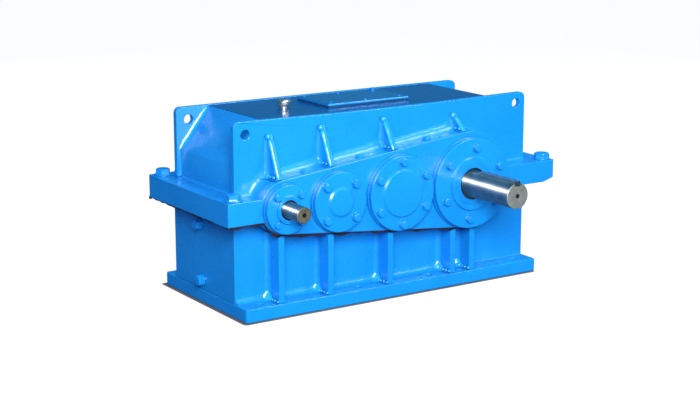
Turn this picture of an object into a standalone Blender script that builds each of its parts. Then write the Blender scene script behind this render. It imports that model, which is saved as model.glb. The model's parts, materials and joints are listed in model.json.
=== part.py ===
"""Three-stage parallel-shaft gearbox in a welded steel case, split on the plane of its shafts.

Metres, +Z up. X runs along the case from the input end to the output end. The four shafts run
along Y, and both shaft ends come out at the front (-Y). The origin is the centre of the
underside of the base plate.
"""

from collections import namedtuple
from math import acos, asin, cos, hypot, pi, radians, sin, tan

import bmesh
import bpy

# Clearance between faces that touch on the real gearbox
GAP = 0.0003

# Facets of round pieces, by size
FINE_SEGMENTS = 24
COLLAR_SEGMENTS = 18
HOLE_SEGMENTS = 12
HEXAGON = 6

# Sides of the case along Y
FRONT = -1
BACK = 1

# Base plate
BASE_LENGTH = 0.806
BASE_WIDTH = 0.384
BASE_THICKNESS = 0.030
BASE_CORNER_RADIUS = 0.008
BASE_CORNER_STEPS = 2
FOOT_HOLE_RADIUS = 0.009
FOOT_HOLE_X = (-0.355, -0.096, 0.100, 0.355)
FOOT_HOLE_Y = 0.166

# Welded case
CASE_END_X = 0.400
CASE_HALF_WIDTH = 0.140
SIDE_THICKNESS = 0.0145
PANEL_THICKNESS = 0.010
CASE_TOP_Z = 0.429
TOP_PLATE_DROP = 0.001
SIDE_CORNER_RADIUS = 0.013
SIDE_CORNER_STEPS = 4
SIDE_RIGHT_X = {FRONT: 0.400, BACK: 0.392}
SIDE_TOP_RISE = {FRONT: 0.0044, BACK: 0.0}
SIDE_TOP_STEPS = 6
LOWER_END_INSET = 0.002
UPPER_END_INSET = 0.010
SLOPE_FOOT_Z = 0.333
SLOPE_TOP_LEFT = -0.3157
SLOPE_TOP_RIGHT = 0.3033

# Split flange and bearing blocks
SHAFT_Z = 0.243
FLANGE_LEFT = -0.443
FLANGE_RIGHT = 0.456
FLANGE_HALF_WIDTH = 0.190
FLANGE_THICKNESS = 0.026
FLANGE_END_RUN = 0.032
FLANGE_END_RISE = 0.010
BLOCK_TOP_RADII = (0.0625, 0.1205)
BLOCK_BOTTOM_RADII = (0.0585, 0.1070)
SMALL_ARC_STEPS = 5
LARGE_ARC_STEPS = 12
BOSS_MARGIN = 0.002
BOSS_HEIGHT = 0.006
BOSS_ROOT = 0.002

# Ribs and gussets
RIB_THICKNESS = 0.015
RIB_FRONT_Y = 0.186
RIB_X = (-0.310, -0.182, -0.021, 0.1565, 0.2125)
GUSSET_THICKNESS = 0.012
GUSSET_X = (-0.310, -0.176, -0.009, 0.189)
GUSSET_TOP_Z = (0.394, 0.401, 0.404, 0.395)
GUSSET_TOP_DEPTH = 0.006
GUSSET_FOOT_DEPTH = 0.044

# Lifting holes
LIFTING_HOLE_RADIUS = 0.0115
LIFTING_HOLES = {
    FRONT: ((-0.371, 0.4045), (0.3735, 0.408)),
    BACK: ((-0.368, 0.400), (0.363, 0.400)),
}

# Inspection opening and its cover
HATCH_X = (-0.1075, 0.116)
HATCH_Y = (-0.060, 0.078)
HATCH_RIM = 0.024
GASKET_THICKNESS = 0.0015
HATCH_THICKNESS = 0.007

# Breather, level plug and drain plug
BREATHER_X = -0.190
BREATHER_RADIUS = 0.0165
BREATHER_STEM_RADIUS = 0.010
BREATHER_BORE_RADIUS = 0.004
BREATHER_STEM_HEIGHT = 0.003
BREATHER_CAP_HEIGHT = 0.0145
BREATHER_CAP_CHAMFER = 0.0025
DRAIN_PLUG = (0.009, 0.052)
LEVEL_PLUG = (0.017, 0.180)
PLUG_COLLAR_RADIUS = 0.0145
PLUG_COLLAR_LENGTH = 0.004
PLUG_HEX_RADIUS = 0.0125
PLUG_HEX_LENGTH = 0.011
PLUG_THREAD_RADIUS = 0.009

# Corner bolts of the split flange
BOLT_X = (-0.417, 0.436)
BOLT_Y = 0.166
BOLT_SHANK_RADIUS = 0.009
BOLT_HEX_RADIUS = 0.0173
BOLT_HEAD_HEIGHT = 0.012
BOLT_WASHER_RADIUS = 0.0200
BOLT_WASHER_THICKNESS = 0.003
BOLT_END_INSET = 0.003

# Bearing covers and seals
COVER_THICKNESS = 0.010
COVER_STEP_HEIGHT = 0.004
COVER_STEP_WIDTH = 0.027
SPIGOT_WALL = 0.006
HUB_HEIGHT = 0.005
SEAL_WIDTH = 0.010
SEAL_INSET = 0.002
SEAL_RUNNING_GAP = 0.0008
SEAL_LAND_WIDTH = 0.004

# Bearings: the inner ring carries the rollers
BEARING_INSET = 0.004
ROLLER_COUNT = 10
ROLLER_POINTS = 3
ROLLER_FILL = 0.8
ROLLER_HALF_ARC = radians(75)
RING_WALL = 0.24
ROLLER_RUNNING_GAP = 0.0006

# Shafts
INPUT_END_Y = -0.269
INPUT_END_RADIUS = 0.018
OUTPUT_END_Y = -0.370
OUTPUT_END_RADIUS = 0.030
SHAFT_SHOULDER = 0.005
SHAFT_TAIL = 0.004
SHAFT_CHAMFER = 0.0015
CENTRE_HOLE_RADIUS = 0.005
CENTRE_HOLE_DEPTH = 0.012

# Parallel key on the output shaft end, open to the end face
KEY_WIDTH = 0.018
KEY_HEIGHT = 0.011
KEY_DEPTH = 0.007
KEY_START_Y = -0.240
KEY_END_SETBACK = 0.002
GEAR_KEY_MARGIN = 0.010

# Involute gearing
PRESSURE_ANGLE = radians(20)
ADDENDUM = 0.95
DEDENDUM = 1.25
FLANK_THINNING = 0.0003

Station = namedtuple("Station", "name x cover_radius bearing_radius journal_radius bearing_width")
STATIONS = (
    Station("input", -0.302, 0.0545, 0.0340, 0.0200, 0.0180),
    Station("intermediate_1", -0.168, 0.0675, 0.0425, 0.0225, 0.0225),
    Station("intermediate_2", -0.002, 0.0865, 0.0600, 0.0300, 0.0300),
    Station("output", 0.196, 0.1060, 0.0725, 0.0375, 0.0360),
)

Hub = namedtuple("Hub", "radius seal_radius shaft_radius")
HUBS = {
    "input": Hub(0.0310, 0.0270, 0.0190),
    "output": Hub(0.0630, 0.0480, 0.0340),
}

Stage = namedtuple("Stage", "pinion_teeth gear_teeth centre_y face_width")
STAGES = (
    Stage(15, 46, 0.080, 0.036),
    Stage(14, 41, 0.005, 0.050),
    Stage(14, 37, -0.070, 0.080),
)

# Heights and depths that follow from the dimensions above
WALL_INSIDE = CASE_HALF_WIDTH - SIDE_THICKNESS
FLANGE_TOP_Z = SHAFT_Z + FLANGE_THICKNESS
FLANGE_BOTTOM_Z = SHAFT_Z - FLANGE_THICKNESS
TOP_PLATE_Z = CASE_TOP_Z - TOP_PLATE_DROP
BOSS_FACE_Y = FLANGE_HALF_WIDTH + BOSS_HEIGHT
COVER_FACE_Y = BOSS_FACE_Y + COVER_THICKNESS


# Materials

def material(name, colour, roughness, metallic):
    """One Principled material, made once and shared by name."""
    found = bpy.data.materials.get(name)
    if found:
        return found
    made = bpy.data.materials.new(name)
    made.use_nodes = True
    shader = made.node_tree.nodes["Principled BSDF"]
    shader.inputs["Base Color"].default_value = (*colour, 1.0)
    shader.inputs["Roughness"].default_value = roughness
    shader.inputs["Metallic"].default_value = metallic
    return made


def blue_paint():
    return material("blue_paint", (0.013, 0.250, 0.680), 0.28, 0.0)


def ground_steel():
    return material("ground_steel", (0.56, 0.57, 0.56), 0.22, 1.0)


def gear_steel():
    return material("gear_steel", (0.40, 0.39, 0.37), 0.35, 1.0)


def bearing_steel():
    return material("bearing_steel", (0.62, 0.62, 0.61), 0.18, 1.0)


def zinc_plate():
    return material("zinc_plate", (0.66, 0.62, 0.48), 0.30, 1.0)


def seal_rubber():
    return material("seal_rubber", (0.030, 0.024, 0.020), 0.60, 0.0)


def gasket_fibre():
    return material("gasket_fibre", (0.060, 0.120, 0.220), 0.75, 0.0)


# Objects and shapes

def empty(name, location=(0, 0, 0), parent=None):
    made = bpy.data.objects.new(name, None)
    bpy.context.collection.objects.link(made)
    made.location = location
    made.parent = parent
    return made


def solid(name, shape, finish, parent):
    """Turns a bmesh into a named object with outward faces, shaded smooth across round walls."""
    bmesh.ops.recalc_face_normals(shape, faces=shape.faces)
    mesh = bpy.data.meshes.new(name)
    shape.to_mesh(mesh)
    shape.free()
    made = bpy.data.objects.new(name, mesh)
    bpy.context.collection.objects.link(made)
    made.parent = parent
    if finish:
        mesh.materials.append(finish)
    mesh.shade_smooth()
    mesh.set_sharp_from_angle(angle=radians(30))
    return made


def boolean(target, operation, shape, label):
    """Cuts a hidden guide out of the target, or joins it on."""
    guide = solid(f"{target.name}_{label}", shape, None, target.parent)
    guide.hide_render = True
    guide.display_type = "WIRE"
    modifier = target.modifiers.new(label, "BOOLEAN")
    modifier.operation = operation
    modifier.solver = "EXACT"
    modifier.object = guide


def cut(target, shape, label):
    boolean(target, "DIFFERENCE", shape, label)


def join(target, shape, label):
    boolean(target, "UNION", shape, label)


def along(axis, a, b, c):
    """A point from its two outline coordinates and its place along the axis."""
    return {"X": (c, a, b), "Y": (a, c, b), "Z": (a, b, c)}[axis]


def add_prism(shape, axis, outline, low, high):
    """Adds a closed outline drawn out along an axis from low to high."""
    near = [shape.verts.new(along(axis, a, b, low)) for a, b in outline]
    far = [shape.verts.new(along(axis, a, b, high)) for a, b in outline]
    shape.faces.new(near)
    shape.faces.new(far)
    for i in range(len(outline)):
        j = (i + 1) % len(outline)
        shape.faces.new((near[i], near[j], far[j], far[i]))
    return shape


def prism(axis, outline, low, high):
    return add_prism(bmesh.new(), axis, outline, low, high)


def add_box(shape, x, y, z):
    return add_prism(shape, "Z", rectangle(x, y), *z)


def box(x, y, z):
    return add_box(bmesh.new(), x, y, z)


def rectangle(a, b):
    return [(a[0], b[0]), (a[1], b[0]), (a[1], b[1]), (a[0], b[1])]


def arc(centre, radius, start, end, steps):
    """Points on an arc, ends included. Angles in radians from the first axis to the second."""
    points = []
    for i in range(steps + 1):
        angle = start + (end - start) * i / steps
        points.append((centre[0] + radius * cos(angle), centre[1] + radius * sin(angle)))
    return points


def circle(centre, radius, segments, turn=0.0):
    return arc(centre, radius, turn, turn + 2 * pi, segments)[:-1]


def rounded_rectangle(a, b, radius, steps):
    """A rectangle outline with the same radius at its four corners."""
    centres = rectangle((a[0] + radius, a[1] - radius), (b[0] + radius, b[1] - radius))
    points = []
    for quarter, centre in enumerate(centres):
        start = pi + quarter * pi / 2
        points += arc(centre, radius, start, start + pi / 2, steps)
    return points


def hole_radius(radius, segments):
    """Radius of a faceted hole whose flats clear a round piece of the given radius."""
    return (radius + GAP) / cos(pi / segments)


def turned(profile, segments, ring=False):
    """A solid turned about the Y axis from (radius, y) points, capped at both ends unless a ring."""
    shape = bmesh.new()
    rows = []
    for radius, y in profile:
        rows.append([shape.verts.new((a, y, b)) for a, b in circle((0, 0), radius, segments)])
    pairs = list(zip(rows, rows[1:]))
    if ring:
        pairs.append((rows[-1], rows[0]))
    else:
        shape.faces.new(rows[0])
        shape.faces.new(rows[-1])
    for first, second in pairs:
        for i in range(segments):
            j = (i + 1) % segments
            shape.faces.new((first[i], first[j], second[j], second[i]))
    return shape


# Outline of the bearing blocks, seen from the front

def tangent_angle(radii):
    """Direction in which a line over the first and the last shaft touches circles about them."""
    return pi / 2 + asin((radii[1] - radii[0]) / (STATIONS[-1].x - STATIONS[0].x))


def block_top(grow=0.0):
    """The upper edge of the block from left to right, moved outwards by grow."""
    first = STATIONS[0]
    last = STATIONS[-1]
    radii = [radius + grow for radius in BLOCK_TOP_RADII]
    angle = tangent_angle(radii)
    top = FLANGE_TOP_Z + grow
    start = pi - asin((top - SHAFT_Z) / radii[0])
    end = asin((top - SHAFT_Z) / radii[1])
    points = [(FLANGE_LEFT, top)]
    points += arc((first.x, SHAFT_Z), radii[0], start, angle, SMALL_ARC_STEPS)
    points += arc((last.x, SHAFT_Z), radii[1], angle, end, LARGE_ARC_STEPS)
    points.append((FLANGE_RIGHT, top))
    return points


def block_bottom(grow=0.0):
    """The lower edge of the block from left to right, moved outwards by grow."""
    first = STATIONS[0]
    last = STATIONS[-1]
    radii = [radius + grow for radius in BLOCK_BOTTOM_RADII]
    angle = -tangent_angle(radii)
    bottom = FLANGE_BOTTOM_Z - grow
    start = asin((SHAFT_Z - bottom) / radii[0]) - pi
    end = -asin((SHAFT_Z - bottom) / radii[1])
    points = [(FLANGE_LEFT, bottom)]
    points += arc((first.x, SHAFT_Z), radii[0], start, angle, SMALL_ARC_STEPS)
    points += arc((last.x, SHAFT_Z), radii[1], angle, end, LARGE_ARC_STEPS)
    points.append((FLANGE_RIGHT - FLANGE_END_RUN, bottom))
    points.append((FLANGE_RIGHT, bottom + FLANGE_END_RISE))
    return points


def between(points, low, high):
    """The stretch of a left-to-right edge between two x values, with its ends interpolated."""
    kept = []
    for (x0, z0), (x1, z1) in zip(points, points[1:]):
        for limit in (low, high):
            if x0 < limit < x1:
                kept.append((limit, z0 + (z1 - z0) * (limit - x0) / (x1 - x0)))
        if low < x1 < high:
            kept.append((x1, z1))
    return kept


def height_at(points, x):
    """Height of a left-to-right edge at x."""
    for (x0, z0), (x1, z1) in zip(points, points[1:]):
        if x0 <= x <= x1:
            return z0 + (z1 - z0) * (x - x0) / (x1 - x0)
    raise ValueError("x is outside the edge")


def depth(side, near, far):
    """A pair of y values in rising order, on the front or the back of the case."""
    return sorted((side * near, side * far))


# Case

def base_plate(case):
    x = (-BASE_LENGTH / 2, BASE_LENGTH / 2)
    y = (-BASE_WIDTH / 2, BASE_WIDTH / 2)
    outline = rounded_rectangle(x, y, BASE_CORNER_RADIUS, BASE_CORNER_STEPS)
    plate = solid("base_plate", prism("Z", outline, 0, BASE_THICKNESS), blue_paint(), case)
    holes = bmesh.new()
    for x in FOOT_HOLE_X:
        for y in (-FOOT_HOLE_Y, FOOT_HOLE_Y):
            outline = circle((x, y), FOOT_HOLE_RADIUS, HOLE_SEGMENTS)
            add_prism(holes, "Z", outline, -BASE_THICKNESS, 2 * BASE_THICKNESS)
    cut(plate, holes, "foot_holes")


def lower_wall(case, side, name):
    """The side plate of the lower case with the five ribs that carry the bearing block."""
    edge = between(block_bottom(GAP), -CASE_END_X, CASE_END_X)
    floor = BASE_THICKNESS + GAP
    outline = [(-CASE_END_X, floor), (CASE_END_X, floor)] + edge[::-1]
    shape = prism("Y", outline, *depth(side, WALL_INSIDE, CASE_HALF_WIDTH))
    wall = solid(name, shape, blue_paint(), case)
    ribs = bmesh.new()
    for x in RIB_X:
        left = x - RIB_THICKNESS / 2
        right = x + RIB_THICKNESS / 2
        top = min(height_at(edge, left), height_at(edge, x), height_at(edge, right))
        root = CASE_HALF_WIDTH - SIDE_THICKNESS / 2
        add_box(ribs, (left, right), depth(side, root, RIB_FRONT_Y), (floor, top - GAP))
    join(wall, ribs, "ribs")


def side_top(side, x):
    """Height of the upper side plate's top edge, whose ends stand a little higher on the front."""
    return CASE_TOP_Z + SIDE_TOP_RISE[side] * (x / CASE_END_X) ** 2


def upper_side(case, side, name):
    """The side plate of the upper case with its lifting holes and four gussets."""
    edge = between(block_top(GAP), -CASE_END_X, SIDE_RIGHT_X[side])
    radius = SIDE_CORNER_RADIUS
    left = radius - CASE_END_X
    right = SIDE_RIGHT_X[side] - radius
    outline = edge + arc((right, side_top(side, right) - radius), radius, 0, pi / 2, SIDE_CORNER_STEPS)
    for k in range(1, SIDE_TOP_STEPS):
        x = right + (left - right) * k / SIDE_TOP_STEPS
        outline.append((x, side_top(side, x)))
    outline += arc((left, side_top(side, left) - radius), radius, pi / 2, pi, SIDE_CORNER_STEPS)
    shape = prism("Y", outline, *depth(side, WALL_INSIDE, CASE_HALF_WIDTH))
    plate = solid(name, shape, blue_paint(), case)
    gussets = bmesh.new()
    root = CASE_HALF_WIDTH - SIDE_THICKNESS / 2
    for x, top in zip(GUSSET_X, GUSSET_TOP_Z):
        left = x - GUSSET_THICKNESS / 2
        right = x + GUSSET_THICKNESS / 2
        foot = max(height_at(edge, left), height_at(edge, x), height_at(edge, right)) + GAP
        outline = [
            (side * root, foot),
            (side * (CASE_HALF_WIDTH + GUSSET_FOOT_DEPTH), foot),
            (side * (CASE_HALF_WIDTH + GUSSET_TOP_DEPTH), top),
            (side * root, top),
        ]
        add_prism(gussets, "X", outline, left, right)
    join(plate, gussets, "gussets")
    holes = bmesh.new()
    for centre in LIFTING_HOLES[side]:
        outline = circle(centre, LIFTING_HOLE_RADIUS, COLLAR_SEGMENTS)
        add_prism(holes, "Y", outline, *depth(side, WALL_INSIDE / 2, 2 * CASE_HALF_WIDTH))
    cut(plate, holes, "lifting_holes")


def inside_width():
    """The y range of a panel that fits between the two side plates."""
    return (GAP - WALL_INSIDE, WALL_INSIDE - GAP)


def lower_end(case, end, name):
    """The end wall of the lower case with its strip of the split flange. end is -1 or 1."""
    flange_x = FLANGE_LEFT if end < 0 else FLANGE_RIGHT
    outer = end * (CASE_END_X - LOWER_END_INSET)
    inner = outer - end * PANEL_THICKNESS
    floor = BASE_THICKNESS + GAP
    split = SHAFT_Z - GAP / 2
    outline = [(flange_x, split)]
    if end > 0:
        outline.append((flange_x, FLANGE_BOTTOM_Z + FLANGE_END_RISE))
        outline.append((flange_x - FLANGE_END_RUN, FLANGE_BOTTOM_Z))
    else:
        outline.append((flange_x, FLANGE_BOTTOM_Z))
    outline += [
        (outer, FLANGE_BOTTOM_Z),
        (outer, floor),
        (inner, floor),
        (inner, split),
    ]
    wall = solid(name, prism("Y", outline, *inside_width()), blue_paint(), case)
    if end < 0:
        holes = bmesh.new()
        for centre in (DRAIN_PLUG, LEVEL_PLUG):
            hole = circle(centre, hole_radius(PLUG_THREAD_RADIUS, HOLE_SEGMENTS), HOLE_SEGMENTS)
            add_prism(holes, "X", hole, outer - PANEL_THICKNESS, inner + PANEL_THICKNESS)
        cut(wall, holes, "plug_holes")


def upper_end(case, end, name):
    """The folded end panel of the upper case, on its strip of the split flange."""
    flange_x = FLANGE_LEFT if end < 0 else FLANGE_RIGHT
    outer = end * (CASE_END_X - UPPER_END_INSET)
    inner = outer - end * PANEL_THICKNESS
    slope_top = SLOPE_TOP_LEFT if end < 0 else SLOPE_TOP_RIGHT
    run = abs(outer - slope_top)
    rise = TOP_PLATE_Z - SLOPE_FOOT_Z
    slant = hypot(run, rise)
    fold_drop = PANEL_THICKNESS * (slant - rise) / run
    top_drop = PANEL_THICKNESS * slant / run
    split = SHAFT_Z + GAP / 2
    outline = [
        (flange_x, split),
        (flange_x, FLANGE_TOP_Z),
        (outer, FLANGE_TOP_Z),
        (outer, SLOPE_FOOT_Z),
        (slope_top, TOP_PLATE_Z),
        (slope_top, TOP_PLATE_Z - top_drop),
        (inner, SLOPE_FOOT_Z - fold_drop),
        (inner, split),
    ]
    solid(name, prism("Y", outline, *inside_width()), blue_paint(), case)


def top_plate(case):
    x = (SLOPE_TOP_LEFT + GAP, SLOPE_TOP_RIGHT - GAP)
    shape = box(x, inside_width(), (TOP_PLATE_Z - PANEL_THICKNESS, TOP_PLATE_Z))
    plate = solid("top_plate", shape, blue_paint(), case)
    opening = box(
        (HATCH_X[0] + HATCH_RIM, HATCH_X[1] - HATCH_RIM),
        (HATCH_Y[0] + HATCH_RIM, HATCH_Y[1] - HATCH_RIM),
        (TOP_PLATE_Z - 2 * PANEL_THICKNESS, TOP_PLATE_Z + PANEL_THICKNESS),
    )
    cut(plate, opening, "inspection_opening")
    hole = circle((BREATHER_X, 0), hole_radius(BREATHER_STEM_RADIUS, COLLAR_SEGMENTS), COLLAR_SEGMENTS)
    cut(plate, prism("Z", hole, TOP_PLATE_Z - 2 * PANEL_THICKNESS, CASE_TOP_Z + GAP), "breather_hole")


def inspection_hatch(case):
    """The fibre gasket, open over the inspection opening, and the plate that closes it."""
    low = TOP_PLATE_Z + GAP
    high = low + GASKET_THICKNESS
    gasket = solid("inspection_gasket", box(HATCH_X, HATCH_Y, (low, high)), gasket_fibre(), case)
    opening = box(
        (HATCH_X[0] + HATCH_RIM, HATCH_X[1] - HATCH_RIM),
        (HATCH_Y[0] + HATCH_RIM, HATCH_Y[1] - HATCH_RIM),
        (low - GASKET_THICKNESS, high + GASKET_THICKNESS),
    )
    cut(gasket, opening, "opening")
    cover = box(HATCH_X, HATCH_Y, (high + GAP, high + GAP + HATCH_THICKNESS))
    solid("inspection_cover", cover, blue_paint(), case)


def bearing_block(case, side, upper, name):
    """One half of the split flange along one side, with its half of the four bearing seats."""
    outline = block_top() + block_bottom()[::-1]
    flange_y = depth(side, WALL_INSIDE, FLANGE_HALF_WIDTH)
    block = solid(name, prism("Y", outline, *flange_y), blue_paint(), case)
    bosses = bmesh.new()
    bores = bmesh.new()
    for station in STATIONS:
        centre = (station.x, SHAFT_Z)
        boss_y = depth(side, FLANGE_HALF_WIDTH - BOSS_ROOT, BOSS_FACE_Y)
        add_prism(bosses, "Y", circle(centre, station.cover_radius + BOSS_MARGIN, FINE_SEGMENTS), *boss_y)
        bore = hole_radius(station.bearing_radius, FINE_SEGMENTS)
        bore_y = depth(side, WALL_INSIDE / 2, 2 * BOSS_FACE_Y)
        add_prism(bores, "Y", circle(centre, bore, FINE_SEGMENTS), *bore_y)
    join(block, bosses, "bosses")
    cut(block, bores, "bearing_seats")
    holes = bmesh.new()
    for x in BOLT_X:
        radius = hole_radius(BOLT_SHANK_RADIUS, HOLE_SEGMENTS)
        outline = circle((x, side * BOLT_Y), radius, HOLE_SEGMENTS)
        add_prism(holes, "Z", outline, BASE_THICKNESS, CASE_TOP_Z)
    cut(block, holes, "bolt_holes")
    split = SHAFT_Z + GAP / 2 if upper else SHAFT_Z - GAP / 2
    other_half = (0, split) if upper else (split, CASE_TOP_Z)
    everything = (2 * FLANGE_LEFT, 2 * FLANGE_RIGHT)
    cut(block, box(everything, (-CASE_TOP_Z, CASE_TOP_Z), other_half), "split")


def flange_bolt(case, x, y, name):
    """A flanged hexagon bolt that clamps the two halves, screwed into the lower flange."""
    top = FLANGE_TOP_Z + GAP
    collar_top = top + BOLT_WASHER_THICKNESS
    shank = circle((x, y), BOLT_SHANK_RADIUS, HOLE_SEGMENTS)
    low = FLANGE_BOTTOM_Z + BOLT_END_INSET
    bolt = solid(name, prism("Z", shank, low, top + GAP), blue_paint(), case)
    join(bolt, prism("Z", circle((x, y), BOLT_WASHER_RADIUS, COLLAR_SEGMENTS), top, collar_top), "collar")
    head = circle((x, y), BOLT_HEX_RADIUS, HEXAGON)
    join(bolt, prism("Z", head, collar_top - GAP, collar_top + BOLT_HEAD_HEIGHT), "head")


def plug(case, centre, name):
    """A hexagon-headed plug screwed into the left end wall."""
    face = -(CASE_END_X - LOWER_END_INSET) - GAP
    thread = circle(centre, PLUG_THREAD_RADIUS, HOLE_SEGMENTS)
    shape = prism("X", thread, face - PLUG_COLLAR_LENGTH / 2, face + PANEL_THICKNESS)
    made = solid(name, shape, blue_paint(), case)
    collar = circle(centre, PLUG_COLLAR_RADIUS, COLLAR_SEGMENTS)
    join(made, prism("X", collar, face - PLUG_COLLAR_LENGTH, face), "collar")
    head = circle(centre, PLUG_HEX_RADIUS, HEXAGON)
    hex_end = face - PLUG_COLLAR_LENGTH - PLUG_HEX_LENGTH
    join(made, prism("X", head, hex_end, face - PLUG_COLLAR_LENGTH / 2), "hexagon")


def breather(case):
    """A screwed stem with an open bore, and the vented cap on top of it."""
    centre = (BREATHER_X, 0)
    low = TOP_PLATE_Z - PANEL_THICKNESS
    stem_top = CASE_TOP_Z + BREATHER_STEM_HEIGHT
    stem = circle(centre, BREATHER_STEM_RADIUS, COLLAR_SEGMENTS)
    made = solid("breather_stem", prism("Z", stem, low, stem_top), zinc_plate(), case)
    bore = circle(centre, BREATHER_BORE_RADIUS, HOLE_SEGMENTS)
    cut(made, prism("Z", bore, low - PANEL_THICKNESS, stem_top + PANEL_THICKNESS), "bore")
    cap_low = stem_top + GAP
    cap = circle(centre, BREATHER_RADIUS, FINE_SEGMENTS)
    shape = prism("Z", cap, cap_low, cap_low + BREATHER_CAP_HEIGHT)
    bmesh.ops.recalc_face_normals(shape, faces=shape.faces)
    rims = [edge for edge in shape.edges if abs(edge.verts[0].co.z - edge.verts[1].co.z) < GAP]
    bmesh.ops.bevel(shape, geom=rims, offset=BREATHER_CAP_CHAMFER, segments=1, affect="EDGES")
    solid("breather_cap", shape, zinc_plate(), case)


# Bearings, covers and seals

def bearing_faces(station, side):
    """The inner and the outer face of a bearing, as y values."""
    inner = WALL_INSIDE + BEARING_INSET
    return side * inner, side * (inner + station.bearing_width)


def outer_ring(case, station, side, name):
    inner_y, outer_y = bearing_faces(station, side)
    radius = station.bearing_radius
    wall = RING_WALL * (radius - station.journal_radius)
    profile = [(radius - wall, inner_y), (radius, inner_y), (radius, outer_y), (radius - wall, outer_y)]
    ring = solid(name, turned(profile, FINE_SEGMENTS, ring=True), bearing_steel(), case)
    ring.location = (station.x, 0, SHAFT_Z)


def inner_ring(body, station, side, name):
    """The inner ring with its rollers and cage, as one lobed ring that turns with the shaft."""
    inner_y, outer_y = bearing_faces(station, side)
    space = station.bearing_radius - station.journal_radius
    track = station.bearing_radius - RING_WALL * space
    outside = track * cos(pi / FINE_SEGMENTS) - ROLLER_RUNNING_GAP
    roller = pi * (station.journal_radius + space / 2) / ROLLER_COUNT * ROLLER_FILL
    outline = []
    for i in range(ROLLER_COUNT):
        angle = 2 * pi * i / ROLLER_COUNT
        middle = ((outside - roller) * cos(angle), (outside - roller) * sin(angle))
        start = angle - ROLLER_HALF_ARC
        outline += arc(middle, roller, start, angle + ROLLER_HALF_ARC, ROLLER_POINTS - 1)
    ring = solid(name, prism("Y", outline, *sorted((inner_y, outer_y))), bearing_steel(), body)
    bore = circle((0, 0), hole_radius(station.journal_radius, FINE_SEGMENTS), FINE_SEGMENTS)
    cut(ring, prism("Y", bore, *depth(side, WALL_INSIDE / 2, 2 * BOSS_FACE_Y)), "bore")


def spigot_reach(station):
    """How far the spigot of a cover reaches in: up to the outer ring of the bearing."""
    return WALL_INSIDE + BEARING_INSET + station.bearing_width + GAP


def closed_cover(case, station, side, name):
    """A blind cover with a raised centre and a spigot that holds the outer ring."""
    step = station.cover_radius - COVER_STEP_WIDTH
    spigot = station.bearing_radius - GAP
    hollow = spigot - SPIGOT_WALL
    profile = [
        (step, side * (COVER_FACE_Y + COVER_STEP_HEIGHT)),
        (step, side * COVER_FACE_Y),
        (station.cover_radius, side * COVER_FACE_Y),
        (station.cover_radius, side * (BOSS_FACE_Y + GAP)),
        (spigot, side * (BOSS_FACE_Y + GAP)),
        (spigot, side * spigot_reach(station)),
        (hollow, side * spigot_reach(station)),
        (hollow, side * BOSS_FACE_Y),
    ]
    cover = solid(name, turned(profile, FINE_SEGMENTS), blue_paint(), case)
    cover.location = (station.x, 0, SHAFT_Z)


def open_cover(case, station, side, name):
    """A cover with a hub round the shaft, bored for the shaft seal."""
    hub = HUBS[station.name]
    seat = hole_radius(hub.seal_radius, FINE_SEGMENTS)
    face = side * (COVER_FACE_Y + HUB_HEIGHT)
    land = side * (COVER_FACE_Y + HUB_HEIGHT - SEAL_INSET - SEAL_WIDTH - GAP)
    throat = hub.seal_radius - SEAL_LAND_WIDTH
    profile = [
        (seat, face),
        (hub.radius, face),
        (hub.radius, side * COVER_FACE_Y),
        (station.cover_radius, side * COVER_FACE_Y),
        (station.cover_radius, side * (BOSS_FACE_Y + GAP)),
        (station.bearing_radius - GAP, side * (BOSS_FACE_Y + GAP)),
        (station.bearing_radius - GAP, side * spigot_reach(station)),
        (throat, side * spigot_reach(station)),
        (throat, land),
        (seat, land),
    ]
    cover = solid(name, turned(profile, FINE_SEGMENTS, ring=True), blue_paint(), case)
    cover.location = (station.x, 0, SHAFT_Z)


def shaft_seal(case, station, side, name):
    hub = HUBS[station.name]
    outer_y = side * (COVER_FACE_Y + HUB_HEIGHT - SEAL_INSET)
    inner_y = outer_y - side * SEAL_WIDTH
    lip = hole_radius(hub.shaft_radius + SEAL_RUNNING_GAP, FINE_SEGMENTS)
    profile = [(lip, outer_y), (hub.seal_radius, outer_y), (hub.seal_radius, inner_y), (lip, inner_y)]
    seal = solid(name, turned(profile, FINE_SEGMENTS, ring=True), seal_rubber(), case)
    seal.location = (station.x, 0, SHAFT_Z)


# Gears and shafts

def involute(angle):
    return tan(angle) - angle


def gear_outline(teeth, module, turn):
    """Outline of a spur gear with six points to a tooth. One tooth is centred at the turn angle."""
    pitch_radius = module * teeth / 2
    base_radius = pitch_radius * cos(PRESSURE_ANGLE)
    half_at_pitch = pi / (2 * teeth) - FLANK_THINNING / pitch_radius

    def half_tooth(radius):
        pressure = acos(min(1.0, base_radius / radius))
        return half_at_pitch + involute(PRESSURE_ANGLE) - involute(pressure)

    rising = [pitch_radius - DEDENDUM * module, pitch_radius, pitch_radius + ADDENDUM * module]
    points = []
    for tooth in range(teeth):
        middle = turn + 2 * pi * tooth / teeth
        for side, radii in ((-1, rising), (1, rising[::-1])):
            for radius in radii:
                angle = middle + side * half_tooth(radius)
                points.append((radius * cos(angle), radius * sin(angle)))
    return points


def stage_module(index):
    """Transverse module that makes the two gears of a stage fit their centre distance."""
    stage = STAGES[index]
    distance = STATIONS[index + 1].x - STATIONS[index].x
    return 2 * distance / (stage.pinion_teeth + stage.gear_teeth)


def stage_faces(index):
    stage = STAGES[index]
    return stage.centre_y - stage.face_width / 2, stage.centre_y + stage.face_width / 2


def pinion_shape(index):
    """A pinion with a tooth towards the gear that it drives."""
    outline = gear_outline(STAGES[index].pinion_teeth, stage_module(index), 0)
    return prism("Y", outline, *stage_faces(index))


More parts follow.
